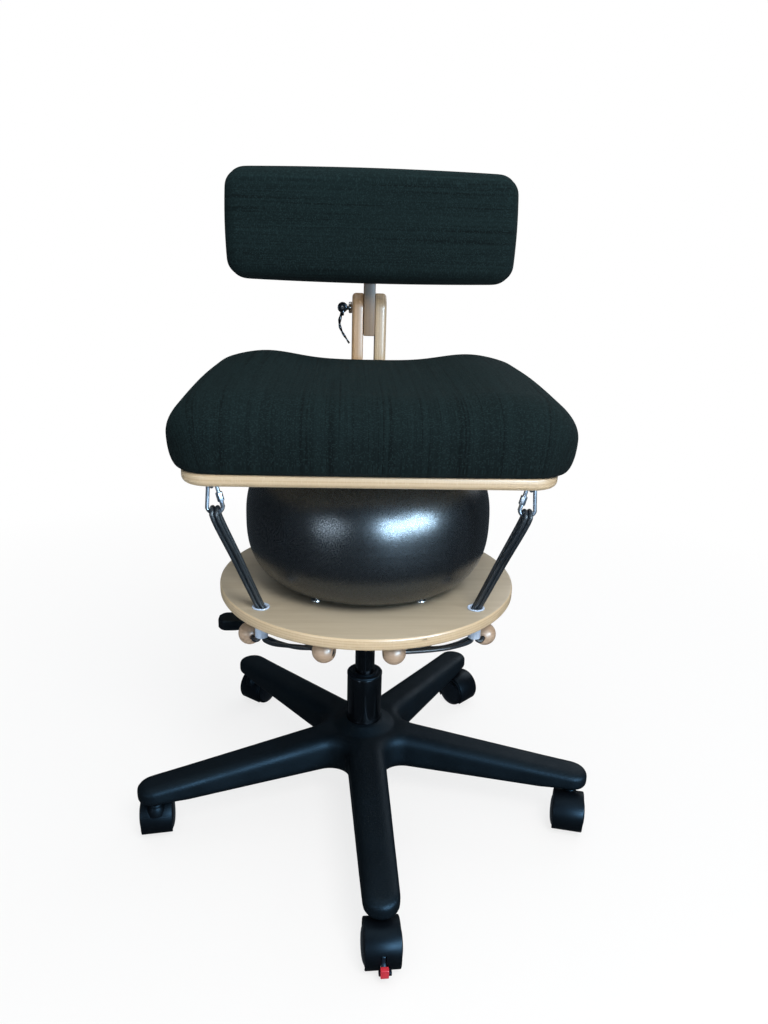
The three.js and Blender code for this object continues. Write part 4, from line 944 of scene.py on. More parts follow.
class Cushions(bpy.types.Operator):
    """Models the seat cushion with its two thigh humps, and the back cushion, as crowned stuffed forms"""
    bl_idname = "chair.cushions"
    bl_label = "Cushions"

    def execute(self, context):
        self.seat()
        self.back()
        return {"FINISHED"}

    def form(self, name, half_x, half_y, corner, insets, middle, bow, top_at, front_roll=0):
        """A cushion lying flat on z = 0: crowned top, sides that swell and draw in between the corners."""
        clear_selection()
        bpy.ops.mesh.primitive_cube_add(size=2, location=(0, 0, 0))
        piece = made(name)
        edit(piece)
        bpy.ops.mesh.subdivide(number_cuts=sizes().cushion_cuts)
        leave_edit()
        for vertex in piece.data.vertices:
            x, y, z = vertex.co
            u, v = (math.copysign(1 - (1 - min(abs(s), 1)) ** 1.45, s) for s in (x, y))
            ring = max(abs(u), abs(v))
            level = z * TURN / 4
            inset = (insets[0] if z > 0 else insets[1]) * (1 - math.cos(level))
            swell = bow * (math.cos(level) - 1)
            roll = front_roll * (1 - math.cos(level)) if z > 0 and y < 0 else 0
            a, b = half_x - inset + swell, half_y - inset - roll + swell
            r = max(corner - inset, corner / 3) * ring
            px, py = u * a, v * b
            cx = min(max(px, -(a * ring - r)), a * ring - r)
            cy = min(max(py, -(b * ring - r)), b * ring - r)
            dx, dy = px - cx, py - cy
            reach = max(math.hypot(dx, dy), 1e-9)
            full = max(abs(dx), abs(dy))
            px = (cx + dx / reach * full) * (1 - bow / half_x * v * v * ring ** 4)
            py = (cy + dy / reach * full) * (1 - bow / half_y * u * u * ring ** 4)
            top = top_at(px / half_x, py / half_y)
            height = middle + (top - middle) * math.sin(level) if z > 0 else middle * (1 + math.sin(level))
            vertex.co = (px, py, height)
        return modified(piece, "SUBSURF", levels=1, render_levels=1)

    def weave(self, piece, face, edge, across, along):
        """Gives every point its place in the cloth, which wraps over the sides from the face."""
        layer = piece.data.attributes.new("weave", "FLOAT_VECTOR", "POINT")
        normals = piece.data.vertex_normals
        for vertex in piece.data.vertices:
            normal = normals[vertex.index].vector
            fall = vertex.co.dot(face) - edge
            layer.data[vertex.index].vector = (
                vertex.co[across] - normal[across] * fall, vertex.co[along] - normal[along] * fall, 0)

    def seat(self):
        half_width, front, rear = 234, -198, 186
        hump_x, hump_width, hump_height, side_fall = 146, 81, 11.5, 34
        front_height, rear_height = 79, 84

        def top_at(u, v):
            along = unit((v + 1) / 1.3)
            along = along * along * (3 - 2 * along)
            away = (abs(u) * half_width - hump_x) / hump_width
            hump = hump_height * math.exp(-away * away * 2) * (0.45 + 0.55 * along)
            fall = side_fall * max(abs(u) - hump_x / half_width, 0) ** 2
            return mix(front_height, rear_height, along) + hump - fall

        piece = self.form(
            "seat_cushion_cover", half_width, (rear - front) / 2, 48, (32, 8), 39, 4, top_at, 34)
        moved(piece, Matrix.Translation((0, (front + rear) / 2, SEAT_TOP + GAP)))
        moved(piece, FROM_MM)
        self.weave(piece, Vector((0, 0, 1)), (SEAT_TOP + 60) / 1000, 0, 1)
        dressed(piece, finish("seat_cover"), "seat_cushion", degrees=80, metres=False)

    def back(self):
        half_width, bottom, top, thickness = 207.5, 728, 883, 50
        rear = BOARD_REAR - BOARD_THICKNESS - GAP
        piece = self.form(
            "back_cushion_cover", half_width, (top - bottom) / 2, 27, (17, 8), 22, 3.5,
            lambda u, v: thickness - 5 * (u ** 4 + v * v) / 2)
        moved(piece, Matrix.Translation((0, (bottom + top) / 2, 0)))
        moved(piece, Matrix.Translation((BACK_SHIFT, rear, 0)) @ Matrix.Rotation(TURN / 4, 4, "X"))
        moved(piece, FROM_MM)
        face = Vector((0, -1, 0))
        edge = (FROM_MM @ Vector((0, rear - thickness + 12, 0))).dot(face)
        self.weave(piece, face, edge, 2, 0)
        dressed(piece, finish("back_cover"), "back_cushion", degrees=80, metres=False)


# Ball


class Ball(bpy.types.Operator):
    """Turns the pressed ball in two halves that meet at its middle, and finishes its valve plug"""
    bl_idname = "chair.ball"
    bl_label = "Ball"

    def execute(self, context):
        steps = 26
        radius, contact, wall, power = 163, 78, 3, 2 / 2.55
        half = (BALL_TOP - BALL_BOTTOM) / 2

        def side(inset, sign):
            """From the pole to the middle of the ball."""
            points = [(0, BALL_MIDDLE + sign * (half - inset))]
            for i in range(steps + 1):
                angle = TURN / 4 * (1 - i / steps)
                points.append((
                    contact + (radius - inset - contact) * math.cos(angle) ** power,
                    BALL_MIDDLE + sign * (half - inset) * math.sin(angle) ** power))
            return points

        for name, sign, bodies, low, high in (
            ("ball_lower_half", -1, ("carrier", "rocker"), BALL_BOTTOM, BALL_MIDDLE),
            ("ball_upper_half", 1, ("rocker", "seat"), BALL_MIDDLE, BALL_TOP),
        ):
            piece = turned(name, side(0, sign) + side(wall, sign)[::-1], 128)
            dressed(piece, finish("ball"))
            blended(piece, "ball")
        skin_of("ball_plug", finish("black"))
        return {"FINISHED"}


# Five-legged base


class Base(bpy.types.Operator):
    """Moulds the five-legged base: round legs that run into the hub in soft fillets, ribbed underneath"""
    bl_idname = "chair.base"
    bl_label = "Five-legged base"

    LEGS, TIP, ROOT = 5, 325, 62
    ROOT_HALF, TIP_HALF, FILLET = 25.5, 21, 27
    UNDERSIDE, ROOT_TOP, TIP_TOP, HUB_TOP = 58, 110, 84, 120
    TIP_LIFT, LIFT_FROM, LIFT_OVER = 2.5, 262, 30
    POCKETS, POCKET_START, POCKET_END, POCKET_HALF, RIB, WALL = 3, 66, 275, 13, 4, 4.5
    EDGE, STEM_HOLE = 14, 5.8

    def outline(self):
        step = TURN / self.LEGS
        slant = (self.ROOT_HALF - self.TIP_HALF) / (self.TIP - self.ROOT)
        wide = self.ROOT_HALF + slant * self.ROOT
        edge_angle = step / 2 + math.atan(slant)
        centre = (wide * math.cos(math.atan(slant)) + self.FILLET) / math.sin(edge_angle)
        tip_centre = self.TIP - self.TIP_HALF
        spread = TURN / 4 - edge_angle
        points = []
        for k in range(self.LEGS):
            along = k * step + LEG_TURN
            middle = along + step / 2
            tip = arc(
                tip_centre * math.cos(along), tip_centre * math.sin(along), self.TIP_HALF,
                along - TURN / 4 + slant, along + TURN / 4 - slant, 20)
            web = arc(
                centre * math.cos(middle), centre * math.sin(middle), self.FILLET,
                middle + TURN / 2 + spread, middle + TURN / 2 - spread, 14)
            points += tip + web
        return points

    def leg_top(self, radius):
        return mix(self.ROOT_TOP, self.TIP_TOP, max((radius - self.ROOT) / (self.TIP - self.ROOT), 0))

    def execute(self, context):
        height = self.ROOT_TOP - self.UNDERSIDE
        star = slab("base_star_form", self.outline(), height)
        rounded(star, self.EDGE, 8, 60)
        edit(star)
        bpy.ops.mesh.quads_convert_to_tris()
        leave_edit()
        remeshed(star, sizes().star_voxel)
        for vertex in star.data.vertices:
            x, y, z = vertex.co
            reach = math.hypot(x, y)
            under = self.UNDERSIDE + self.TIP_LIFT * unit((reach - self.LIFT_FROM) / self.LIFT_OVER)
            vertex.co.z = under + z / height * (self.leg_top(reach) - under)
        hub = turned("hub", [
            (0, 45), (34, 45), (34, 69), (60, 97), (54, 103), (48, 107.5), (42, 111), (37, 114), (33, 116.8),
            (30, 119), (28.4, self.HUB_TOP), (0, self.HUB_TOP),
        ])
        joined(star, hub)
        remeshed(star, sizes().star_voxel)
        modified(star, "SMOOTH", factor=0.5, iterations=4)
        modified(star, "DISPLACE", strength=0.9, mid_level=0)
        tools = [post("column_hole", TUBE_RADIUS + GAP, 42, 123)]
        pitch = (self.POCKET_END - self.POCKET_START) / self.POCKETS
        for k in range(self.LEGS):
            along = Matrix.Rotation(k * TURN / self.LEGS + LEG_TURN, 4, "Z")
            tools.append(moved(post("stem_hole", self.STEM_HOLE, 55, 73.8, STEM_REACH, 0, 24), along))
            for i in range(self.POCKETS):
                start = self.POCKET_START + i * pitch
                end = start + pitch - self.RIB
                low = (start, -self.POCKET_HALF, 55)
                high = (end, self.POCKET_HALF, self.leg_top(end) - self.WALL)
                tools.append(moved(block("pocket", low, high), along))
        cut_by(star, *tools)
        dressed(star, finish("nylon"), "base_star", degrees=50)
        return {"FINISHED"}


# Casters


class Casters(bpy.types.Operator):
    """Models one twin-wheel caster, copies it under each leg, and gives the front one its brake pedal"""
    bl_idname = "chair.casters"
    bl_label = "Casters"

    AXLE = 25 * math.cos(TURN / 40)
    TRAIL, WEB = 15, 8
    INNER, RADIUS, HALF = 25.7, 27.4, 20.8
    WHEEL_IN, WHEEL_OUT = 4.5, 20.2
    STRETCH = 1.045
    PIVOT_INSET, PIVOT_HEIGHT, SLOT_HALF, HOOD_BOTTOM = 10.5, 21, 3.2, 9

    def on_axle(self):
        return Matrix.Translation((self.TRAIL, 0, self.AXLE)) @ Matrix.Rotation(TURN / 4, 4, "X")

    def on_pivot(self):
        inwards = self.TRAIL + self.RADIUS - self.PIVOT_INSET
        return Matrix.Translation((inwards, 0, self.PIVOT_HEIGHT)) @ Matrix.Rotation(TURN / 4, 4, "X")

    def hood(self, kind):
        i, r, h = self.INNER, self.RADIUS, self.HALF
        fender = turned("hood", [
            (i, -h), (r - 1.2, -h), (r - 0.35, -h + 0.35), (r, -h + 1.2), (r, h - 1.2), (r - 0.35, h - 0.35),
            (r - 1.2, h), (i, h),
        ], 44, 252, -36)
        moved(fender, self.on_axle())
        web = moved(post("web", i + 0.85, -self.WEB / 2, self.WEB / 2, steps=64), self.on_axle())
        combined(fender, web, "UNION")
        moved(fender, Matrix.Diagonal((1, 1, self.STRETCH, 1)))
        boss = turned("boss", [
            (0, self.AXLE + i / 2), (12.5, self.AXLE + i / 2), (12.2, self.AXLE + i * 0.85), (10.4, 49.5),
            (9.7, 51.5), (9.5, 53.4), (8.8, 54.3), (0, 54.3),
        ], 32)
        cut_by(boss, moved(post("inside", i + GAP, -h - 1, h + 1, steps=64), self.on_axle()))
        stem = turned("stem", [
            (0, self.AXLE + i), (7.5, self.AXLE + i), (7.5, 56.4), (7.2, 56.7), (5.5, 56.7),
            (5.5, 72.1), (4.1, 73.5), (0, 73.5),
        ], 24)
        combined(fender, boss, "UNION")
        cut_by(fender, moved(post("axle_hole", 3.3, -8, 8, steps=24), self.on_axle()))
        if kind == "brake":
            face, half = self.TRAIL + r, self.SLOT_HALF
            for name, inwards, top in (("slot", 11, 33), ("arm_room", 15.4, 25.4)):
                cut_by(fender, block(name, (face - inwards, -half, -3), (face + 3, half, top)))
            cut_by(fender, moved(post("pivot", 2.5, -8, 8, steps=20), self.on_pivot()))
        elif kind == "notched":
            at_skin = Matrix.Translation((self.TRAIL + r * 0.74, 0, self.AXLE + r * 0.62))
            notch = post("notch", 4.4, -2, 3, steps=32)
            cut_by(fender, moved(notch, at_skin @ Matrix.Rotation(radians(48), 4, "Y")))
        low = (self.TRAIL - r - 3, -h - 0.1, -3)
        high = (self.TRAIL + r + 3, h + 0.1, self.HOOD_BOTTOM)
        cut_by(fender, block("ground_gap", low, high))
        return joined(fender, stem)

    def wheels(self):
        radius = self.AXLE
        outer, inner = self.WHEEL_OUT, self.WHEEL_IN
        tread, cap = [], []
        for sign in (-1, 1):
            tread.append(turned("tread", [(r, sign * z) for r, z in [
                (17, inner), (radius - 1.6, inner), (radius - 0.5, inner + 0.4), (radius, inner + 1.6),
                (radius, outer - 2.2), (radius - 0.5, outer - 0.8), (radius - 1.6, outer - 0.1),
                (22.3, outer), (21.6, outer - 0.9), (17, outer - 0.9),
            ]], 64))
            cap.append(turned("cap", [(r, sign * z) for r, z in [
                (0, inner + 2), (17.5, inner + 2), (17.5, outer - 1.2), (21.5, outer - 0.8),
                (21.3, outer + 0.2), (20, outer + 1.1), (17, outer + 2.2), (13, outer + 3.0),
                (8, outer + 3.45), (3, outer + 3.6), (0, outer + 3.6),
            ]], 64))
        axle = post("axle", 3, -inner - 2.5, inner + 2.5, steps=24)
        return joined(tread[0], tread[1], axle), joined(cap[0], cap[1])

    def pedal(self, place):
        face = self.TRAIL + self.RADIUS
        tab = face + 2.4
        flat = slab("brake_arm", [
            *arc(face - self.PIVOT_INSET, self.PIVOT_HEIGHT, 3.3, TURN / 4, 3 * TURN / 4, 10),
            (face - 4.4, 13.6), (tab - 4.2, 10.2), (tab - 0.8, 10.2), (tab, 11), (tab + 0.2, 15.4),
            (tab - 0.4, 17), (face + 2.2, 18.2), (face + 1, 19.4), (face - 2.4, 24), (face - 2.2, 29),
            (face - 3.4, 31), (face - 5.6, 30.4), (face - 7, 26),
        ], 5)
        rounded(flat, 0.6, 2, 50)
        moved(flat, Matrix.Translation((0, 2.5, 0)) @ Matrix.Rotation(TURN / 4, 4, "X"))
        axle = moved(post("pivot", 2.2, -4, 4, steps=20), self.on_pivot())
        shelf = block("shelf", (face - 1.9, -5.75, 9.8), (tab + 1.5, 9.2, 14.6))
        rounded(shelf, 0.9, 3)
        cut_by(shelf, moved(post("wheel_room", self.RADIUS + RUNNING, -12, 12, steps=96), self.on_axle()))
        arm = joined(flat, axle, shelf)
        arm.name = "brake_pedal_arm"
        moved(arm, place)
        dressed(arm, finish("pedal"), "brake_pedal")
        red = block("brake_pedal_tab", (face + 0.6, -3.9, 9.6), (tab + 4.6, 5.5, 20.6))
        rounded(red, 0.8, 3)
        moved(red, place)
        dressed(red, finish("red"), "brake_pedal")

    def execute(self, context):
        plain, braked, notched = (self.hood(kind) for kind in ("plain", "brake", "notched"))
        tread, cap = self.wheels()
        moved(tread, self.on_axle())
        moved(cap, self.on_axle())
        for k, (name, trails) in enumerate(CASTERS):
            along = LEG_TURN + k * TURN / 5
            place = (
                Matrix.Translation((STEM_REACH * math.cos(along), STEM_REACH * math.sin(along), 0))
                @ Matrix.Rotation(radians(trails), 4, "Z"))
            source = {"front": braked, "front_left": notched}.get(name, plain)
            for form, new_name, look, node, degrees in (
                (source, f"caster_hood_{name}_form", "hood", f"caster_hood_{name}", 35),
                (tread, f"caster_treads_{name}", "tread", f"caster_wheels_{name}", 40),
                (cap, f"caster_caps_{name}", "cap", f"caster_wheels_{name}", 30),
            ):
                dressed(moved(copied(form, new_name), place), finish(look), node, degrees=degrees)
            if name == "front":
                self.pedal(place)
        remove(plain, braked, notched, tread, cap)
        return {"FINISHED"}


# Gas column


class Column(bpy.types.Operator):
    """Turns the enamelled tube, its guide bush and the gas cylinder, and finishes the rod and pin inside"""
    bl_idname = "chair.column"
    bl_label = "Gas column"

    def execute(self, context):
        tube = turned("outer_tube_form", [
            (5.5, 50), (23.5, 50), (24.6, 50.5), (TUBE_RADIUS, 51.6), (TUBE_RADIUS, 190), (24.6, 191),
            (22.5, 191), (22.5, 54), (5.5, 54),
        ], 96)
        dressed(tube, finish("enamel"), "outer_tube")
        bush = turned("guide_bush_form", [
            (14.5, 139), (22.2, 139), (22.2, 191.3), (25.2, 191.3), (25.4, 191.8), (25.4, 194.2),
            (24.9, 195.0), (24.0, 195.3), (18.9, 195.3), (18.5, 195.7), (18.5, 196.4), (18.0, 196.9),
            (14.5, 196.9),
        ], 96)
        cut_by(bush, *[
            moved(post("key_hole", 1.3, 193.3, 199, 21.75, 0, 20), Matrix.Rotation(i * TURN / 2, 4, "Z"))
            for i in range(2)])
        dressed(bush, finish("black"), "guide_bush")
        cylinder = turned("gas_cylinder_form", [
            (5.5, 122), (13.2, 122), (14, 122.8), (14, 313.2), (13.2, 314), (4.5, 314), (4.5, 298), (0, 298),
            (0, 284), (11, 284), (11, 132), (5.5, 132),
        ], 72)
        dressed(cylinder, finish("enamel"), "gas_cylinder")
        for node in ("piston_rod", "release_pin"):
            skin_of(node, finish("steel"))
        return {"FINISHED"}


# Mechanism


class Mechanism(bpy.types.Operator):
    """Presses the pan plate under the disc, bends the lift lever and moulds its paddle"""
    bl_idname = "chair.mechanism"
    bl_label = "Seat mechanism"

    PADDLE_Y, PADDLE_Z, PADDLE_OUT, PADDLE_ROOT, PADDLE_THICKNESS = -20, 282.5, -203, -143, 14.5
    ROOT_HALF, WIDEST_HALF, END_HALF = 8.2, 15.2, 5.5

    def execute(self, context):
        skin_of("mechanism_plate", finish("plate"), 30, 0.0008)
        skin_of("mechanism_socket", finish("plate"), 30, 0.0006)
        self.lever()
        self.paddle()
        for i, (x, y) in enumerate(BOLTS):
            bolt = turned(f"plate_bolt_{i + 1}_form", [
                (0, 322.7), (2.4, 322.7), (3, 323.4), (3, 347.3), (6.8, 347.3), (7, 347.6),
                (6.9, 348.3), (6.1, 349.2), (4.6, 349.8), (2.6, 349.9), (0, 349.9),
            ], 40)
            cut_by(bolt, post("key", 3, 348.3, 353, 0, 0, 6))
            moved(bolt, Matrix.Translation((x, y, 0)))
            dressed(bolt, finish("steel"), f"plate_bolt_{i + 1}")
        return {"FINISHED"}

    def lever(self):
        z, y = 321, self.PADDLE_Y
        points = [
            (5, 0, z), (-20, 0, z), (-31, 0, z), (-46, 0, z - 2), (-58, y / 9, z - 8), (-70, y / 4, z - 15),
            (-84, y * 0.47, z - 24.5), (-98, y * 0.7, z - 33), (-109, y * 0.88, z - 37), (-120, y, z - 38.5),
            (-145, y, z - 38.5), (-170, y, z - 38.5),
        ]
        dressed(wire("lift_lever_rod_form", points, 4, 20), finish("enamel"), "lift_lever_rod")

    def paddle(self):
        out, root, y = self.PADDLE_OUT, self.PADDLE_ROOT, self.PADDLE_Y
        steps = 30
        top, low = [], []
        for i in range(steps + 1):
            share = i / steps
            x = mix(root, out, share)
            half = mix(self.ROOT_HALF, self.WIDEST_HALF, math.sin(min(share / 0.72, 1) * TURN / 4) ** 2)
            round_off = max((share - 0.78) / 0.22, 0)
            half *= math.sqrt(max(1 - round_off ** 2.6, 0.0)) if share < 1 else 0
            half = max(half, self.END_HALF if share == 1 else half)
            top.append((x, y + half))
            low.append((x, y - half))
        body = slab("lift_lever_paddle_form", top[::-1] + low, self.PADDLE_THICKNESS)
        rounded(body, 4.6, 6, 60)
        middle = self.PADDLE_THICKNESS / 2
        for vertex in body.data.vertices:
            share = unit((vertex.co.x - root) / (out - root))
            vertex.co.z = middle + (vertex.co.z - middle) * mix(0.72, 1, min(share / 0.6, 1))
        moved(body, Matrix.Translation((0, 0, self.PADDLE_Z - middle)))
        dressed(body, finish("paddle"), "lift_lever_paddle", degrees=60)


# Plywood disc, sleeves and beads


class Disc(bpy.types.Operator):
    """Turns the birch disc, drills it, and sets the four white cord sleeves in it"""
    bl_idname = "chair.disc"
    bl_label = "Disc and sleeves"

    def execute(self, context):
        r, b, t = DISC_RADIUS, DISC_BOTTOM, DISC_TOP
        disc = turned("base_disc_form", [
            (0, b), (r - 3.2, b), (r - 1.2, b + 0.6), (r - 0.2, b + 2.4), (r, b + 4), (r, t - 3.2),
            (r - 0.4, t - 1.4), (r - 1.4, t - 0.3), (r - 3, t), (0, t),
        ], 180)
        tools = [post("bolt_hole", 3.3, b - 3, t + 3, x, y, 24) for x, y in BOLTS]
        tools += [
            post("sleeve_hole", 8.4, b - 3, t + 3, sx * SLEEVE_X, sy * SLEEVE_Y, 40) for _, sx, sy in CORNERS]
        edge_void = block("edge_void", (r - 2.6, -3.1, b + 9.4), (r + 3, 3.1, b + 10.6))
        tools.append(moved(edge_void, Matrix.Rotation(radians(-71.6), 4, "Z")))
        cut_by(disc, *tools)
        dressed(disc, finish("disc"), "base_disc", degrees=35)
        for name, sx, sy in CORNERS:
            sleeve = turned(f"cord_sleeve_{name}_form", [
                (7.2, SLEEVE_END), (8.0, SLEEVE_END), (8.1, 307.3), (8.1, 347.3), (10.8, 347.3), (11, 347.6),
                (10.9, 348.3), (10.4, 348.8), (9.4, 348.9), (8.6, 348.4), (7.6, 347.0), (7.2, 345.6),
            ], 48)
            moved(sleeve, Matrix.Translation((sx * SLEEVE_X, sy * SLEEVE_Y, 0)))
            dressed(sleeve, finish("white"), f"cord_sleeve_{name}")
        return {"FINISHED"}


class Beads(bpy.types.Operator):
    """Turns the six beech beads, each with its well and the cord's dark knot in it"""
    bl_idname = "chair.beads"
    bl_label = "Beads"

    def execute(self, context):
        r, bore, well, depth = BEAD_RADIUS, 3.4, 5.6, 6
        lip, back = math.sqrt(r * r - well * well), math.sqrt(r * r - bore * bore)
        start, end = math.asin(-back / r), math.asin(lip / r)
        steps = 26
        profile = [(bore, -back + 0.4)]
        for i in range(1, steps):
            angle = mix(start, end, i / steps)
            profile.append((r * math.cos(angle), r * math.sin(angle)))
        profile += [(well + 0.1, lip - 0.2), (well, lip - 0.7), (well, lip - depth), (bore, lip - depth)]
        places = []
        x, y, z, turned_by = OUTER_BEAD
        for name, sx, sy in CORNERS:
            facing = math.atan2(-sy * math.sin(radians(turned_by)), sx * math.cos(radians(turned_by)))
            places.append((f"outer_bead_{name}", (sx * x, sy * y, z), facing))
        for name, (*place, turned_by) in zip(("left", "right"), INNER_BEADS.values()):
            places.append((f"inner_bead_{name}", place, radians(turned_by)))
        bead = turned("bead", profile, 48)
        knot = turned("knot", [(radius, lip - depth + height) for radius, height in (
            (0, 0.2), (3.6, 0.2), (4.9, 1.3), (5.1, 2.6), (4.4, 3.9), (2.9, 4.7), (1.2, 4.4), (0, 4.5),
        )], 24)
        for name, place, facing in places:
            settle = Matrix.Translation(place) @ Matrix.Rotation(facing, 4, "Z") @ along_x()
            dressed(moved(copied(bead, f"{name}_form"), settle), finish("beech"), name)
            tied = moved(copied(knot, f"{name}_knot"), settle)
            dressed(tied, finish("elastic"), body=BODY_OF[name])
        remove(bead, knot)
        return {"FINISHED"}


# Links and eyes


class Hardware(bpy.types.Operator):
    """Bends the pear-shaped snap links with their threaded nuts, and the screw eyes that carry them"""
    bl_idname = "chair.hardware"
    bl_label = "Links and eyes"

    WIRE, SMALL, SPAN = 2.3, 5.2, 37.6
    NUT_RADIUS, NUT_LENGTH, THREAD_ROOT, THREAD_CREST, THREAD_PITCH = 4.3, 11, 2.35, 2.62, 0.8
    EYE_RADIUS, EYE_WIRE, EYE_Z, EYE_NECK, EYE_TOP = 6.5, 2, 520.3, 522.5, 531.5

    def link(self, name, sx, sy):
        big, small, span = LINK_BIG, self.SMALL, self.SPAN
        tilt = math.asin((big - small) / (span - big - small))
        ring = arc(0, big, big, TURN / 2 + tilt, TURN - tilt, 18)
        ring += arc(0, span - small, small, -tilt, TURN / 2 + tilt, 14)
        first, last = Vector(ring[0]), Vector(ring[-1])
        side = (last - first).normalized()
        middle = (first + last) / 2
        route = [middle - side, *(Vector(p) for p in ring), middle + side]
        body = wire(name, [(sx * p.x, 0, p.y) for p in route], self.WIRE, 16)
        lean = sx * radians(LINK_LEAN)
        tilt_of_side = math.atan2(sx * side.x, side.y)
        at_side = Matrix.Translation((sx * middle.x, 0, middle.y)) @ Matrix.Rotation(tilt_of_side, 4, "Y")
        half = self.NUT_LENGTH / 2
        nut = rounded(post("nut", self.NUT_RADIUS, -half, half, steps=6), 0.7, 3, 50)
        threads = []
        for i in range(9):
            z = -12.4 + i * self.THREAD_PITCH
            threads += [(self.THREAD_ROOT, z - 0.35), (self.THREAD_CREST, z)]
        thread = turned("thread", [(1, -13.2), *threads, (self.THREAD_ROOT, -5.3), (1, -5.3)], 20)
        moved(nut, at_side)
        moved(thread, at_side)
        joined(body, nut, thread)
        top = (sx * LINK_X + span * math.sin(lean), sy * LINK_Y, LINK_Z + span * math.cos(lean))
        hung = Matrix.Rotation(lean, 4, "Y") @ Matrix.Translation((0, 0, -span))
        return moved(body, Matrix.Translation(top) @ hung)

    def execute(self, context):
        top_x = LINK_X + self.SPAN * math.sin(radians(LINK_LEAN))
        r = self.EYE_RADIUS
        for name, sx, sy in CORNERS:
            x, y = sx * top_x, sy * LINK_Y
            loop = [(-r, self.EYE_TOP), (-r, self.EYE_NECK)]
            loop += arc(0, self.EYE_Z, r, TURN / 2, TURN, 16)
            loop += [(r, self.EYE_NECK), (r, self.EYE_TOP)]
            points = [(x, y + a, z) for a, z in loop]
            link = self.link(f"snap_link_{name}_form", sx, sy)
            dressed(link, finish("zinc"), f"snap_link_{name}", degrees=45)
            eye = wire(f"hook_eye_{name}_form", points, self.EYE_WIRE, 14)
            dressed(eye, finish("zinc"), f"hook_eye_{name}", degrees=45)
        return {"FINISHED"}


# Seat board and backrest


def eased(piece, width, segments, level, tolerance=0.05):
    """Rounds over the edges that lie at one level of z."""
    weights = piece.data.attributes.new("bevel_weight_edge", "FLOAT", "EDGE")
    points = piece.data.vertices
    for edge in piece.data.edges:
        lies_there = all(abs(points[i].co.z - level) < tolerance for i in edge.vertices)
        weights.data[edge.index].value = 1.0 if lies_there else 0.0
    modified(piece, "BEVEL", width=width, segments=segments, limit_method="WEIGHT")
    left = piece.data.attributes.get("bevel_weight_edge")
    if left:
        piece.data.attributes.remove(left)
    return piece


def stood_in_yz(x0):
    """Turns a slab drawn in YZ upright, from x0 outwards along X."""
    return Matrix(((0, 0, 1, x0), (1, 0, 0, 0), (0, 1, 0, 0), (0, 0, 0, 1)))


class SeatBoard(bpy.types.Operator):
    """Cuts the plywood seat board, with its lower edge rounded over"""
    bl_idname = "chair.seat_board"
    bl_label = "Seat board"

    def execute(self, context):
        thickness = SEAT_TOP - SEAT_BOTTOM
        board = slab("seat_board_form", rounded_rectangle(-216, 211, -186, 188, 34, 16), thickness)
        eased(board, 7.5, 6, 0)
        eased(board, 2.2, 3, thickness)
        moved(board, Matrix.Translation((0, 0, SEAT_BOTTOM)))
        dressed(board, finish("seat_board"), "seat_board")
        return {"FINISHED"}


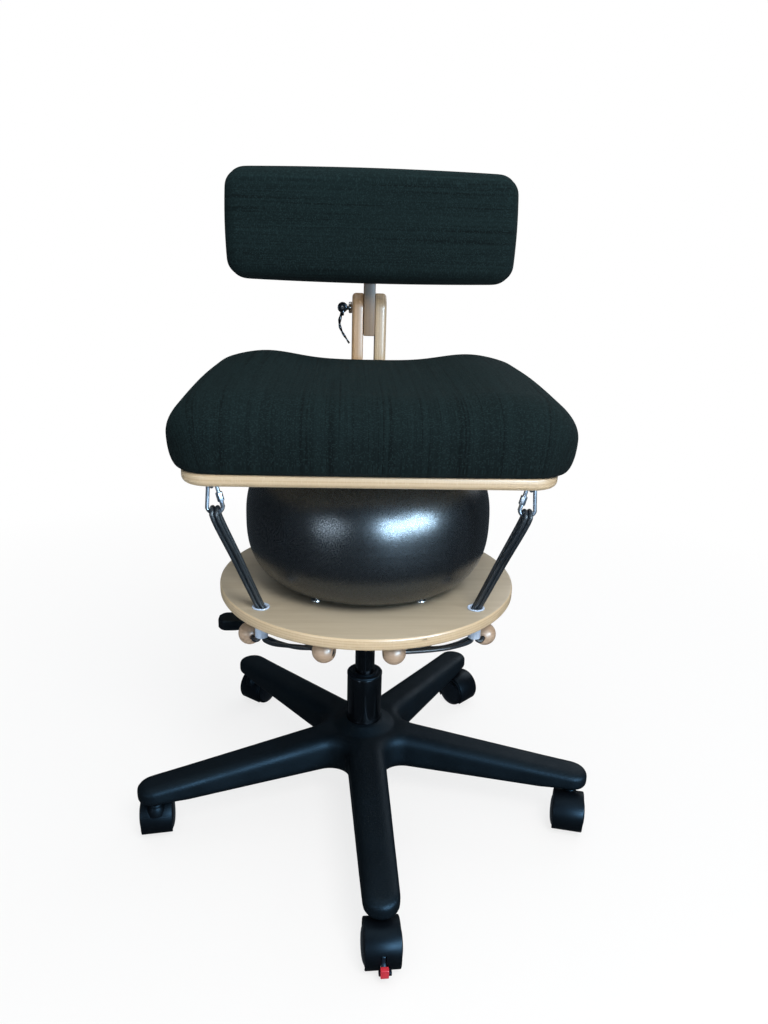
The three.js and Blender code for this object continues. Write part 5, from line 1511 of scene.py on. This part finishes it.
class Backrest(bpy.types.Operator):
    """Shapes the two uprights, the slotted post between them and the board behind the back cushion"""
    bl_idname = "chair.backrest"
    bl_label = "Backrest"

    UPRIGHT_TOP, ARM_DEPTH, ARM_LENGTH = 712, 29, 72
    POST_BOTTOM, POST_TOP, TAPER, SLOT_HALF = 650, 870, 12, 4.4

    def upright_outline(self):
        front, rear = UPRIGHT_FRONT, UPRIGHT_FRONT + TIMBER_DEPTH
        arm_top, arm_end = SEAT_BOTTOM - GAP, front - self.ARM_LENGTH
        bottom = arm_top - self.ARM_DEPTH
        r, fillet, quarter = TIMBER_DEPTH / 2, 24, TURN / 4
        return (
            arc(rear - r, bottom + r, r, -quarter, 0, 12)
            + arc(front + r, self.UPRIGHT_TOP - r, r, 0, 2 * quarter, 28)
            + arc(front - fillet, arm_top + fillet, fillet, 0, -quarter, 12)
            + [(arm_end, arm_top), (arm_end, arm_top - 9), (front - 40, bottom)])

    def upright(self, name, side):
        body = slab(f"{name}_form", self.upright_outline(), TIMBER)
        outer = TIMBER if side > 0 else 0
        eased(body, 6.5, 6, outer)
        eased(body, 1.8, 3, TIMBER - outer)
        x0 = UPRIGHT_INNER if side > 0 else -UPRIGHT_OUTER
        moved(body, stood_in_yz(x0))
        tools = [moved(post("skewer_hole", 4.2, -30, 30, steps=32), along_x(0, CLAMP_Y, CLAMP_HEIGHT))]
        if side > 0:
            at_face = along_x(UPRIGHT_OUTER - 6.8, CLAMP_Y, CLAMP_HEIGHT)
            tools.append(moved(post("nut_well", 8.3, 0, 12, steps=40), at_face))
        cut_by(body, *tools)
        moved(body, Matrix.Translation((BACK_SHIFT, 0, 0)))
        dressed(body, finish("left" if side < 0 else "right"), name)

    def execute(self, context):
        self.upright("upright_left", -1)
        self.upright("upright_right", 1)
        skin_of("upright_spacer", finish("right"), 30, 0.0006)
        front, rear, top, taper = POST_FRONT, UPRIGHT_FRONT + TIMBER_DEPTH, self.POST_TOP, self.TAPER
        outline = [
            (front, self.POST_BOTTOM), (rear, self.POST_BOTTOM), (rear, CLAMP_HEIGHT + 90),
            (rear - taper, top - taper), *arc(rear - 2 * taper, top - taper, taper, 0, TURN / 4, 12),
            (front, top),
        ]
        body = slab("back_post_form", outline, TIMBER)
        slot = slab("slot", [
            *arc(CLAMP_Y, CLAMP_HEIGHT + 47, self.SLOT_HALF, 0, TURN / 2, 16),
            *arc(CLAMP_Y, CLAMP_HEIGHT - 27, self.SLOT_HALF, TURN / 2, TURN, 16),
        ], TIMBER + 6)
        moved(slot, Matrix.Translation((0, 0, -3)))
        cut_by(body, slot)
        rounded(body, 1.3, 3, 50)
        moved(body, stood_in_yz(BACK_SHIFT - TIMBER / 2))
        dressed(body, finish("post"), "back_post")
        board = slab("back_board_form", rounded_rectangle(-194, 194, 740, 874, 26, 12), BOARD_THICKNESS)
        rounded(board, 1.6, 3, 60)
        moved(board, Matrix.Translation((BACK_SHIFT, BOARD_REAR, 0)) @ Matrix.Rotation(TURN / 4, 4, "X"))
        dressed(board, finish("back_board"), "back_board")
        return {"FINISHED"}


class Clamp(bpy.types.Operator):
    """Models the clamp's skewer with its chrome head, and the curved cam lever that hangs from it"""
    bl_idname = "chair.clamp"
    bl_label = "Clamp"

    HEAD, PIVOT_REACH = 5, 9.5
    ARM_START, ARM_LENGTH = 6.6, 47.4

    def execute(self, context):
        left = -UPRIGHT_OUTER - GAP
        pivot = left - self.HEAD - self.PIVOT_REACH
        y, z = CLAMP_Y, CLAMP_HEIGHT
        rod = moved(turned("clamp_skewer_form", [
            (0, pivot), (3.9, pivot), (3.9, left - self.HEAD), (7.6, left - self.HEAD),
            (8.5, left - 4.1), (8.5, left - 0.6),
            (8.1, left), (3.9, left), (3.9, 19.6), (7.2, 19.6), (8, 20.2), (8, 25.0), (7.3, 25.7),
            (5.2, 25.7), (4.6, 24.9), (0, 24.9),
        ], 48), along_x(0, y, z))
        yoke = moved(turned("yoke", [
            (0, -4.5), (5.6, -4.5), (6.6, -3.6), (6.6, 3.6), (5.6, 4.5), (0, 4.5)], 40), along_y(pivot, y, z))
        pin = moved(turned("pin", [
            (0, -7.5), (1.9, -7.5), (2.4, -7.0), (2.4, 7.0), (1.9, 7.5), (0, 7.5)], 24), along_y(pivot, y, z))
        joined(rod, yoke, pin)
        moved(rod, Matrix.Translation((BACK_SHIFT, 0, 0)))
        dressed(rod, finish("chrome"), "clamp_skewer")
        self.lever(pivot, y, z)
        return {"FINISHED"}

    def lever(self, pivot, y, z):
        cheeks = []
        for s in (-1, 1):
            profile = [
                (2.7, 5.0), (6.6, 5.0), (7.5, 5.5), (7.6, 6.2), (6.9, 7.0), (5.2, 7.2), (2.7, 7.2)]
            cheeks.append(moved(turned("cheek", [(r, s * h) for r, h in profile], 40), along_y(pivot, y, z)))
        points, steps = [], 40
        for i in range(steps + 1):
            share = i / steps
            sway = -5.4 * math.sin(share * TURN * 0.62) + 3.6 * share * share * 2
            points.append((pivot + sway, y, z - (self.ARM_START + share * self.ARM_LENGTH)))
        arm = wire("arm", points, 1, 20)
        for vertex in arm.data.vertices:
            share = unit((z - vertex.co.z - self.ARM_START) / self.ARM_LENGTH)
            place = min(range(len(points)), key=lambda i: (Vector(points[i]) - vertex.co).length)
            centre = Vector(points[place])
            beads = 1 + 0.16 * math.cos(share * TURN * 4)
            wide = mix(4.3, 1.5, share) * beads
            thick = mix(2.5, 1.3, share) * beads
            out = vertex.co - centre
            vertex.co = centre + Vector((out.x * thick, out.y * wide, out.z * thick))
        bridge = block("bridge", (pivot - 2.3, y - 7.0, z - 12.2), (pivot + 2.3, y + 7.0, z - 7.2))
        rounded(bridge, 1.6, 4)
        sides = []
        for s in (-1, 1):
            middle = y + s * 6.1
            side = block("side", (pivot - 2.3, middle - 1.05, z - 11), (pivot + 2.3, middle + 1.05, z - 3))
            sides.append(rounded(side, 0.5, 2))
        lever = joined(arm, bridge, *sides, *cheeks)
        lever.name = "cam_lever_form"
        moved(lever, Matrix.Translation((BACK_SHIFT, 0, 0)))
        dressed(lever, finish("enamel"), "cam_lever", degrees=60)


# Panel, registration and run


BUILDERS = (
    ChairStage, ElasticCords, Cushions, Ball, Base, Casters, Column, Mechanism, Disc, Beads, Hardware,
    SeatBoard, Backrest, Clamp,
)


class ChairPanel(bpy.types.Panel):
    """Lists the chair's sizes, colours and pieces"""
    bl_idname = "VIEW3D_PT_balance_ball_chair"
    bl_label = "Balance Ball Chair"
    bl_space_type = "VIEW_3D"
    bl_region_type = "UI"
    bl_category = "Chair"

    def draw(self, context):
        for group in (context.scene.chair_sizes, context.scene.chair_colours):
            box = self.layout.box()
            for name in group.__annotations__:
                box.prop(group, name)
        for builder in BUILDERS:
            self.layout.operator(builder.bl_idname)


CLASSES = (ChairSizes, ChairColours, *BUILDERS, ChairPanel)


def register():
    for cls in CLASSES:
        bpy.utils.register_class(cls)
    bpy.types.Scene.chair_sizes = PointerProperty(type=ChairSizes)
    bpy.types.Scene.chair_colours = PointerProperty(type=ChairColours)


def unregister():
    del bpy.types.Scene.chair_colours
    del bpy.types.Scene.chair_sizes
    for cls in reversed(CLASSES):
        bpy.utils.unregister_class(cls)


def main():
    register()
    bpy.ops.chair.stage()
    bpy.ops.chair.elastic_cords()
    bpy.ops.chair.cushions()
    bpy.ops.chair.ball()
    bpy.ops.chair.base()
    bpy.ops.chair.casters()
    bpy.ops.chair.column()
    bpy.ops.chair.mechanism()
    bpy.ops.chair.disc()
    bpy.ops.chair.beads()
    bpy.ops.chair.hardware()
    bpy.ops.chair.seat_board()
    bpy.ops.chair.backrest()
    bpy.ops.chair.clamp()


if __name__ == "__main__":
    main()
